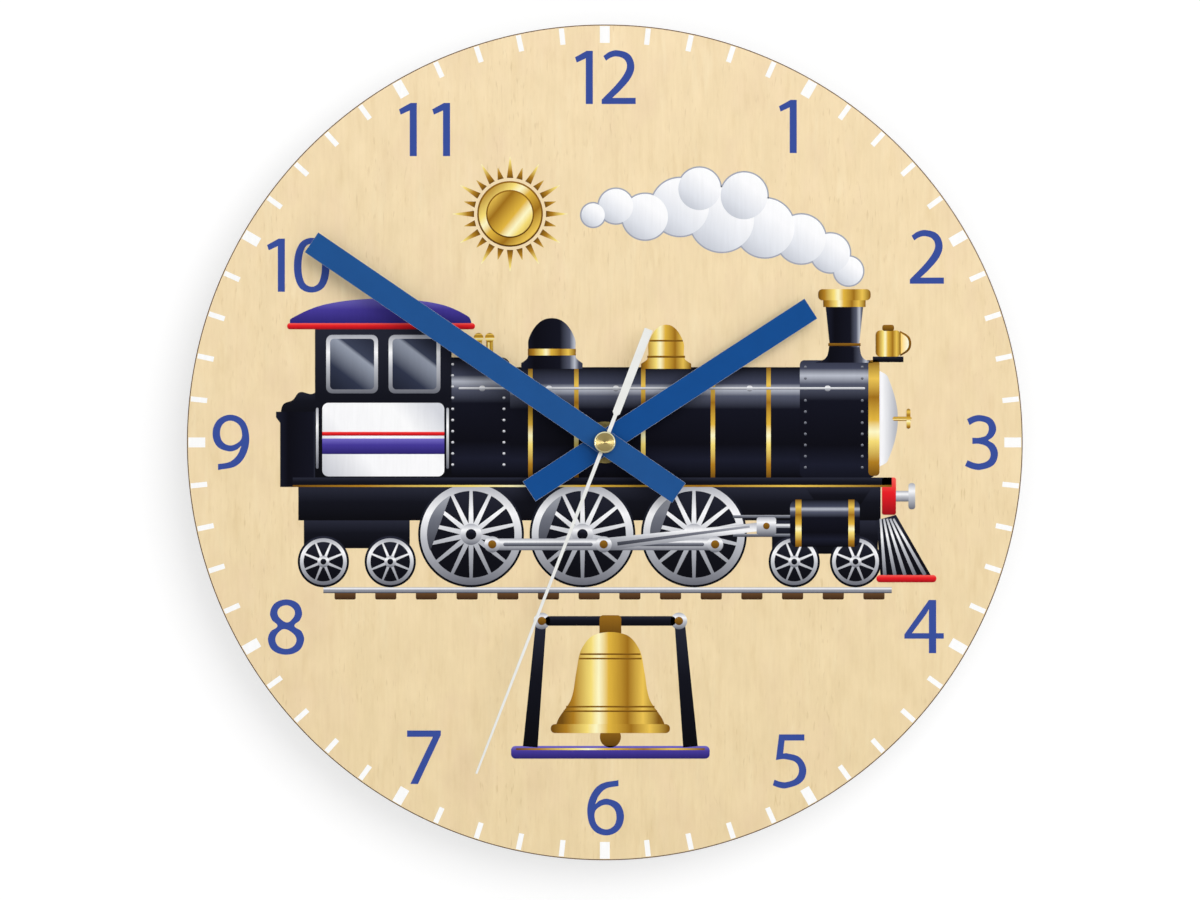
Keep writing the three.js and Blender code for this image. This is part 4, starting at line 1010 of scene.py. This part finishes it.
# Puffs of steam: middle and radius
PUFFS = [
    (87.5, 61.5, 5.2), (81.0, 68.0, 7.0), (70.5, 73.0, 8.8), (57.5, 77.0, 10.6), (42.0, 80.0, 11.6),
    (27.0, 84.5, 10.4), (14.5, 81.0, 8.2), (4.0, 84.8, 6.2), (-4.2, 81.6, 4.2), (50.0, 88.5, 8.4),
    (34.0, 91.0, 7.6),
]
PUFF_EDGE = 0.5


def draw_steam(lay):
    for i, (x, y, radius) in enumerate(PUFFS):
        lay(1 + i % 3 * 0.1, STEAM_EDGE, circle(x, y, radius + PUFF_EDGE, 56))
    for i, (x, y, radius) in enumerate(PUFFS):
        span = ((x - radius, y - radius), (x + radius * 0.5, y + radius))
        lay(2 + 0.5 * i, STEAM, circle(x, y, radius, 56), span=span)


SUN = (-34.0, 82.0)
RAY_COUNT = 24
RAY_ROOT = 12.9
LONG_RAY = 20.6
SHORT_RAY = 17.0


def draw_sun(lay):
    x, y = SUN
    for i in range(RAY_COUNT):
        a = FULL_TURN * i / RAY_COUNT
        along = Vector((math.cos(a), math.sin(a)))
        reach = LONG_RAY if i % 2 == 0 else SHORT_RAY
        root = Vector(SUN) + along * RAY_ROOT
        ray = bar(root, Vector(SUN) + along * reach, 2.3, 0.2)
        lay(1, GOLD, ray, span=(tuple(root), tuple(root + along * 20)))
    lay(2, DARK_GOLD, circle(x, y, 11.8, 72))
    lay(3, GOLD, circle(x, y, 11.2, 72), span=((x - 11, y + 11), (x + 11, y - 11)))
    lay(4, DARK_GOLD, circle(x, y, 8.6), circle(x, y, 8.1))
    lay(4, GOLD, circle(x, y, 8.1), span=((x + 12, y - 9), (x - 10, y + 9)))


BELL = (2.0, -88.0)
BELL_SIZE = 1.15
BELL_EDGE = [
    (-17.2, -100.2), s(-16.0, -97.4), s(-12.2, -91.5), s(-10.6, -83), s(-9.0, -76), s(-4.6, -71.4),
]
# Rings turned round the bell: height and half width
BELL_RINGS = [(-95.6, 14.6), (-94.2, 13.8), (-79.2, 9.7), (-77.8, 9.4)]


def draw_bell(lay):
    x = BELL[0]
    for side in (-1, 1):
        lay(1, SOOT, bar((x + side * 25, -106.5), (x + side * 21.5, -66), 4.6, 3.2))
        lay(2, STEEL, circle(x + side * 21.4, -67.2, 2.6, 32))
        lay(3, DARK_GOLD, circle(x + side * 21.4, -67.2, 1.3, 24))
    lay(1, VIOLET, round_box(x - 31, -110.2, x + 31, -106.2, 1.4))
    lay(2, GOLD, box(x - 29.5, -107.5, x + 29.5, -106.9), span=across(x - 29, x + 29))
    lay(2, SOOT, capsule((x - 19, -67.2), (x + 19, -67.2), 3.0))
    lay(1, DARK_GOLD, circle(x, -103.4, 3.3, 32))
    edge = [(x + p[0], *p[1:]) for p in BELL_EDGE]
    lay(4, GOLD, curved(mirrored(edge, x)), span=across(x - 15, x + 15))
    lay(3, DARK_GOLD, round_box(x - 3.4, -72.5, x + 3.4, -65.4, 1.2))
    lay(5, GOLD, round_box(x - 18.6, -102.2, x + 18.6, -99.4, 1.3), span=across(x - 18, x + 18))
    for y, half in BELL_RINGS:
        lay(5, DARK_GOLD, box(x - half, y, x + half, y + 0.5))


def print_sheet(name, draw, *scaling):
    sheet = Print("print_" + name, *scaling)
    draw(sheet.lay)
    sheet.finish()


SHEETS = {
    "track": draw_track, "wheels": draw_wheels, "rods": draw_rods, "footplate": draw_board,
    "boiler": draw_boiler, "domes": draw_domes, "cab": draw_cab, "steam": draw_steam, "sun": draw_sun,
}
for sheet_name, draw_sheet in SHEETS.items():
    print_sheet(sheet_name, draw_sheet)
print_sheet("bell", draw_bell, BELL_SIZE, BELL)

# Finishes of the moving and metal parts

PAINT_ROUGHNESS = 0.45
PAINT_SPECULAR = 0.05
PAINT_SHADE = 0.93
PAINT_CLOUD = 150.0
PAINT_GRAIN = 2500.0
PAINT_DEPTH = 0.000006
EDGE_START = 0.975
EDGE_END = 0.99


def hand_finish(name, face, edge):
    """Paint on the faces of a sheet hand, and another colour on its cut edge."""
    material, tree, shader = new_material(name, PAINT_ROUGHNESS, 0.0, PAINT_SPECULAR)
    normal = node(tree, "ShaderNodeNewGeometry").outputs["True Normal"]
    facing = calc(tree, "ABSOLUTE", axes(tree, normal)[1])
    cut = ramp(tree, facing, [(EDGE_START, grey(1)), (EDGE_END, grey(0))])
    cloud = noise(tree, (PAINT_CLOUD,) * 3)
    full = colour(*face)
    dark = tuple(PAINT_SHADE * v for v in full[:3]) + (1,)
    coat = two_tone(tree, cloud, dark, full)
    paint(tree, shader, blended(tree, cut, coat, colour(*edge)))
    bumped(tree, shader, noise(tree, (PAINT_GRAIN,) * 3, GRAIN_DETAIL), PAINT_DEPTH)
    return material


ALUMINIUM = (170, 176, 182)
EVEN = (1200.0, 1200.0, 1200.0)
FINE_EVEN = (900.0, 900.0, 900.0)

minute_blue = hand_finish("minute_blue", (28, 81, 143), ALUMINIUM)
hour_blue = hand_finish("hour_blue", (12, 75, 143), ALUMINIUM)
hand_white = hand_finish("hand_white", (235, 236, 233), (228, 229, 226))
turned_brass = turned("turned_brass", (152, 135, 86), (178, 160, 108), 0.3)
polished_brass = metal("polished_brass", (214, 208, 166), (230, 226, 190), 0.18, FINE_EVEN, 0.000001)
# Brass of the nut, washer and bush, its colour darkened as painted shade for where it lies behind the hands
brass_in_painted_shade = metal("brass_in_painted_shade", (108, 98, 60), (132, 118, 72), 0.32, (1200.0, 200.0, 1200.0))
steel = metal("steel", (150, 150, 152), (196, 197, 199), 0.3, (1500.0, 120.0, 1500.0))
rubber = moulded("rubber", (24, 24, 25), (34, 34, 35), 0.85, 1500.0, 0.00003)
case_black = moulded("case_black", (17, 17, 19), (24, 24, 26), 0.5, 1100.0, 0.00002, 0.35)
knob_black = moulded("knob_black", (26, 26, 28), (36, 36, 38), 0.38, 1400.0, 0.00001)
gear_white = moulded("gear_white", (226, 225, 218), (238, 237, 231), 0.4, 1200.0, 0.000006)
copper = metal("copper", (150, 78, 44), (206, 122, 78), 0.3, (9000.0, 60.0, 60.0), 0.00003)
magnet_grey = metal("magnet_grey", (92, 93, 96), (122, 123, 126), 0.42, EVEN)
laminate = moulded("laminate", (24, 84, 52), (40, 108, 66), 0.4, 1600.0, 0.00001)
sleeve_white = moulded("sleeve_white", (214, 216, 219), (228, 230, 232), 0.28, 300.0, 0.00001)
sleeve_blue = moulded("sleeve_blue", (28, 66, 134), (38, 80, 152), 0.28, 300.0, 0.00001)
epoxy = moulded("epoxy", (14, 14, 15), (22, 22, 23), 0.2, 500.0, 0.00001)
contact_nickel = metal("contact_nickel", (176, 174, 166), (212, 210, 203), 0.26, (150.0, 1500.0, 1500.0))

# The frame's own nodes that aren't white plastic: finish and width of the bevel
FINISHES = {
    "minute_hand": (minute_blue, 0.3),
    "hour_hand": (hour_blue, 0.3),
    "seconds_hand": (hand_white, 0.08),
    # The nut, washer and bush carry brass darkened as painted shade
    "hex_nut": (brass_in_painted_shade, 0.15),
    "brass_washer": (brass_in_painted_shade, 0),
    "hour_hand_collet": (steel, 0),
    "minute_hand_collet": (steel, 0),
    "seconds_arbor": (steel, 0),
    "stator_plate": (steel, 0),
    "coil_core": (steel, 0),
    "rubber_gasket": (rubber, 0),
    "movement_front_case": (case_black, 0.25),
    "movement_back_cover": (case_black, 0.2),
    "setting_knob": (knob_black, 0.15),
    "coil_winding": (copper, 0),
    "rotor_magnet": (magnet_grey, 0),
    "circuit_board": (laminate, 0),
    "chip_cover": (epoxy, 0),
    "quartz_crystal": (contact_nickel, 0),
    "battery_contact_positive": (contact_nickel, 0.06),
    "battery_contact_negative": (contact_nickel, 0.06),
}

# Pieces that stand for a part of the movement with more detail than its solid

# Outline of the cap on the seconds arbor: radius, depth and finish, turned or polished
CAP_PROFILE = [
    (0, 32.5, 0), (0.12, 32.58, 0), (0.3, 32.64, 0), (3.17, 32.68, 0), (3.27, 32.67, 1), (3.37, 32.78, 1),
    (3.43, 32.8, 1), (3.57, 32.77, 1), (3.8, 32.64, 1), (3.92, 32.4, 1), (3.95, 32.2, 1), (3.95, 31.05, 1),
    (3.8, 30.9, 1), (1.0, 30.9, 1), (1.0, 29.55, 1), (0.5, 29.55, 1), (0.5, 31.9, 1), (0, 31.9, 1),
]


def make_cap():
    """A brass cap with a shallow dished face inside a polished lip."""
    cap = lathe("turned_cap", [turned_brass, polished_brass], CAP_PROFILE, "seconds")
    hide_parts("centre_cap")


BUSH_BORE = 2.65
BUSH_RADIUS = 3.95
BUSH_FOOT = 13.5
BUSH_TOP = 24.85
FLANGE_RADIUS = 5.55
FLANGE_THICKNESS = 0.6
THREAD_PITCH = 0.75
THREAD_DEPTH = 0.35
THREAD_STEPS = 4
THREAD_SEGMENTS = 96
LEAD_IN = 0.4


def thread_ring(depth):
    ring = []
    for a in turns(THREAD_SEGMENTS):
        phase = (depth / THREAD_PITCH - a / FULL_TURN) % 1
        radius = BUSH_RADIUS - THREAD_DEPTH * abs(2 * phase - 1)
        radius = min(radius, BUSH_RADIUS - LEAD_IN + BUSH_TOP - depth)
        ring.append(place(radius * math.cos(a), radius * math.sin(a), depth))
    return ring


def make_bush():
    """The brass bush that the nut is screwed on, with its thread cut as a helix."""
    first = BUSH_FOOT + FLANGE_THICKNESS
    count = round((BUSH_TOP - first) / THREAD_PITCH * THREAD_STEPS)
    flange = [(BUSH_BORE, BUSH_FOOT), (FLANGE_RADIUS, BUSH_FOOT), (FLANGE_RADIUS, first)]
    rings = [upright_ring(radius, depth, THREAD_SEGMENTS) for radius, depth in flange]
    rings += [thread_ring(first + (BUSH_TOP - first) * i / count) for i in range(count + 1)]
    rings.append(upright_ring(BUSH_BORE, BUSH_TOP, THREAD_SEGMENTS))
    bush = skin("threaded_sleeve", [brass_in_painted_shade], rings, [0] * len(rings), "case")
    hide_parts("threaded_bush")


CELL_Y = -19.79
CELL_Z = 7.55
CELL_RADIUS = 7.25
CELL_SEGMENTS = 96
# Outline of the cell: radius, place along it and finish, bare can or the sleeve's two colours
CELL_PROFILE = [
    (0, -23.7, 0), (4.75, -23.7, 0), (4.95, -23.45, 0), (6.15, -23.45, 1), (6.35, -23.65, 1),
    (6.8, -23.6, 1), (7.13, -23.3, 1), (7.25, -22.8, 1), (7.25, -11.0, 2), (7.25, -10.3, 1),
    (7.25, -9.6, 2), (7.25, 24.6, 2), (7.13, 25.1, 2), (6.8, 25.4, 2), (6.35, 25.5, 2), (5.95, 25.45, 2),
    (5.75, 25.2, 0), (3.25, 25.2, 0), (2.75, 25.4, 0), (2.75, 26.45, 0), (2.65, 26.7, 0), (2.4, 26.8, 0),
    (0, 26.8, 0),
]


def cell_point(radius, turn, x):
    return place(x, CELL_Y + radius * math.cos(turn), CELL_Z + radius * math.sin(turn))


def make_cell():
    """A round cell in a printed sleeve whose ends are shrunk over its steel can."""
    around = turns(CELL_SEGMENTS)
    rings = [[cell_point(radius, turn, x) for turn in around] for radius, x, _ in CELL_PROFILE]
    indices = [index for _, _, index in CELL_PROFILE]
    cell = skin("sleeved_cell", [contact_nickel, sleeve_blue, sleeve_white], rings, indices, "battery")
    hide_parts("battery_cell")


WALLWARD = FULL_TURN * 3 / 4
MARK_RISE = 0.04
MARK_STEPS = 4
# Patches of ink on the sleeve: left end, right end, low edge and high edge
PLUS_PATCHES = [(18.2, 19.2, -2.1, 2.1), (16.6, 18.2, -0.5, 0.5), (19.2, 20.8, -0.5, 0.5)]
MINUS_PATCHES = [(-20.8, -16.6, -0.5, 0.5)]


def patch_edge(mesh, radius, x, low, high):
    heights = [low + (high - low) * i / MARK_STEPS for i in range(MARK_STEPS + 1)]
    return [mesh.verts.new(cell_point(radius, WALLWARD + h / CELL_RADIUS, x)) for h in heights]


def cell_patch(mesh, left, right, low, high):
    """A raised patch of ink, between two places along the cell and two heights round it."""
    radii = (CELL_RADIUS - MARK_RISE, CELL_RADIUS + MARK_RISE)
    edges = [patch_edge(mesh, radius, x, low, high) for radius in radii for x in (left, right)]
    inner_left, inner_right, outer_left, outer_right = edges
    sides = [(inner_left, inner_right), (outer_left, outer_right)]
    sides += [(inner_left, outer_left), (inner_right, outer_right)]
    for i in range(MARK_STEPS):
        for a, b in sides:
            mesh.faces.new([a[i], a[i + 1], b[i + 1], b[i]])
    for i in (0, MARK_STEPS):
        mesh.faces.new([inner_left[i], inner_right[i], outer_right[i], outer_left[i]])


def cell_mark(name, patches, material):
    mesh = bmesh.new()
    for patch in patches:
        cell_patch(mesh, *patch)
    bmesh.ops.recalc_face_normals(mesh, faces=mesh.faces)
    new_piece(name, mesh, [material], "battery")


make_cap()
make_bush()
make_cell()
cell_mark("cell_plus", PLUS_PATCHES, sleeve_blue)
cell_mark("cell_minus", MINUS_PATCHES, sleeve_white)

# Marks cut into the back of the movement

KNOB_Y = 15.787
ENGRAVED = 0.3
MARK_WIDTH = 1.0
TURN_RADIUS = 8.8
TURN_START = 205
TURN_END = 335
HEAD_LEAD = 16
PLUS_REACH = 2.2
# Four screw-like dimples: their radius and how far they lie to each side, then their heights
DIMPLE_RADIUS = 1.5
DIMPLE_X = 22.5
DIMPLE_HEIGHTS = (4.0, 22.5)


def arrow_head(x, y, radius, turn, lead, spread):
    ends = [polar(x, y, radius + side, turn) for side in (spread, -spread)]
    return [ends[0], polar(x, y, radius, turn + lead), ends[1]]


def turn_mark(x, y, radius, first, last):
    """A curved arrow with a head at both ends, for a knob that turns either way."""
    half = MARK_WIDTH / 2
    outline = arc(x, y, radius + half, first, last, 20)
    outline += arrow_head(x, y, radius, last, HEAD_LEAD, half * 3)
    outline += arc(x, y, radius - half, last, first, 20)
    outline += arrow_head(x, y, radius, first, -HEAD_LEAD, -half * 3)
    return outline


def plus_mark(x, y, reach, half):
    quarter = [(half, -reach), (half, -half), (reach, -half), (reach, half), (half, half), (half, reach)]
    return [(x + u, y + v) for u, v in quarter] + [(x - u, y - v) for u, v in quarter]


def back_marks():
    turn = turn_mark(0, KNOB_Y, TURN_RADIUS, TURN_START, TURN_END)
    plus = plus_mark(20, -5, PLUS_REACH, MARK_WIDTH / 2)
    minus = box(-22.2, -5.5, -17.8, -4.5)
    cell = [round_box(-13, -8.6, 13, -1.4, 1.0), round_box(-12, -7.6, 12, -2.4, 0.5)]
    nub = box(13.5, -6.2, 14.8, -3.8)
    dimples = [[circle(x, y, DIMPLE_RADIUS, 32)] for x in (-DIMPLE_X, DIMPLE_X) for y in DIMPLE_HEIGHTS]
    return [[turn], [plus], [minus], cell, [nub], *dimples]


def make_cutter():
    """The tool that cuts the marks; it is hidden itself."""
    mesh = bmesh.new()
    for loops in back_marks():
        add_slab(mesh, loops, -ENGRAVED, ENGRAVED, plain_point)
    bmesh.ops.recalc_face_normals(mesh, faces=mesh.faces)
    cutter = new_object("back_marks", new_mesh("back_marks", mesh))
    cutter.hide_render = True
    return cutter


# Finishing of the frame's own nodes

NODE_SHARP_ANGLE = math.radians(35)
FLAT_ANGLE = math.radians(0.5)
BEVEL_ANGLE = math.radians(40)
BEVEL_SEGMENTS = 3
MARKED = "movement_back_cover"


def mesh_group(name):
    group = bpy.data.node_groups.new(name, "GeometryNodeTree")
    for way in ("INPUT", "OUTPUT"):
        group.interface.new_socket("Geometry", in_out=way, socket_type="NodeSocketGeometry")
    return group, group.nodes.new("NodeGroupInput").outputs[0]


def shading_group():
    """Smooths a mesh across its shallow edges."""
    group, mesh = mesh_group("even_shading")
    angle = node(group, "GeometryNodeInputMeshEdgeAngle")
    shallow = node(group, "FunctionNodeCompare", {0: angle, 1: NODE_SHARP_ANGLE}, operation="LESS_THAN")
    faces = node(group, "GeometryNodeSetShadeSmooth", {"Geometry": mesh}, domain="FACE")
    settings = {"Geometry": faces, "Shade Smooth": shallow}
    node(group, "NodeGroupOutput", {0: node(group, "GeometryNodeSetShadeSmooth", settings, domain="EDGE")})
    return group


def joining_group():
    """Joins the corners that faces share, and drops the normals that came with them."""
    group, mesh = mesh_group("joined_corners")
    free = node(group, "GeometryNodeRemoveAttribute", {"Geometry": mesh, "Name": "custom_normal"})
    merged = node(group, "GeometryNodeMergeByDistance", {"Geometry": free, "Distance": TOUCHING})
    node(group, "NodeGroupOutput", {0: merged})
    return group


def dress(name, cad, joined, shaded):
    material, width = FINISHES.get(name, (gear_white, 0))
    for slot in cad.material_slots:
        slot.material = material
    cad.modifiers.new("joined", "NODES").node_group = joined
    if width:
        flat = cad.modifiers.new("flat", "DECIMATE")
        flat.decimate_type = "DISSOLVE"
        flat.angle_limit = FLAT_ANGLE
        bevel = cad.modifiers.new("bevel", "BEVEL")
        bevel.width = width * MILLIMETRE
        bevel.segments = BEVEL_SEGMENTS
        bevel.limit_method = "ANGLE"
        bevel.angle_limit = BEVEL_ANGLE
        bevel.use_clamp_overlap = True
    if name == MARKED:
        cut = cad.modifiers.new("marks", "BOOLEAN")
        cut.operation = "DIFFERENCE"
        cut.object = make_cutter()
    cad.modifiers.new("shaded", "NODES").node_group = shaded
    if width:
        cad.modifiers.new("flat_faces", "WEIGHTED_NORMAL").keep_sharp = True


def dress_all():
    joined = joining_group()
    shaded = shading_group()
    for name, cad in sorted(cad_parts.items()):
        dress(name, cad, joined, shaded)


dress_all()
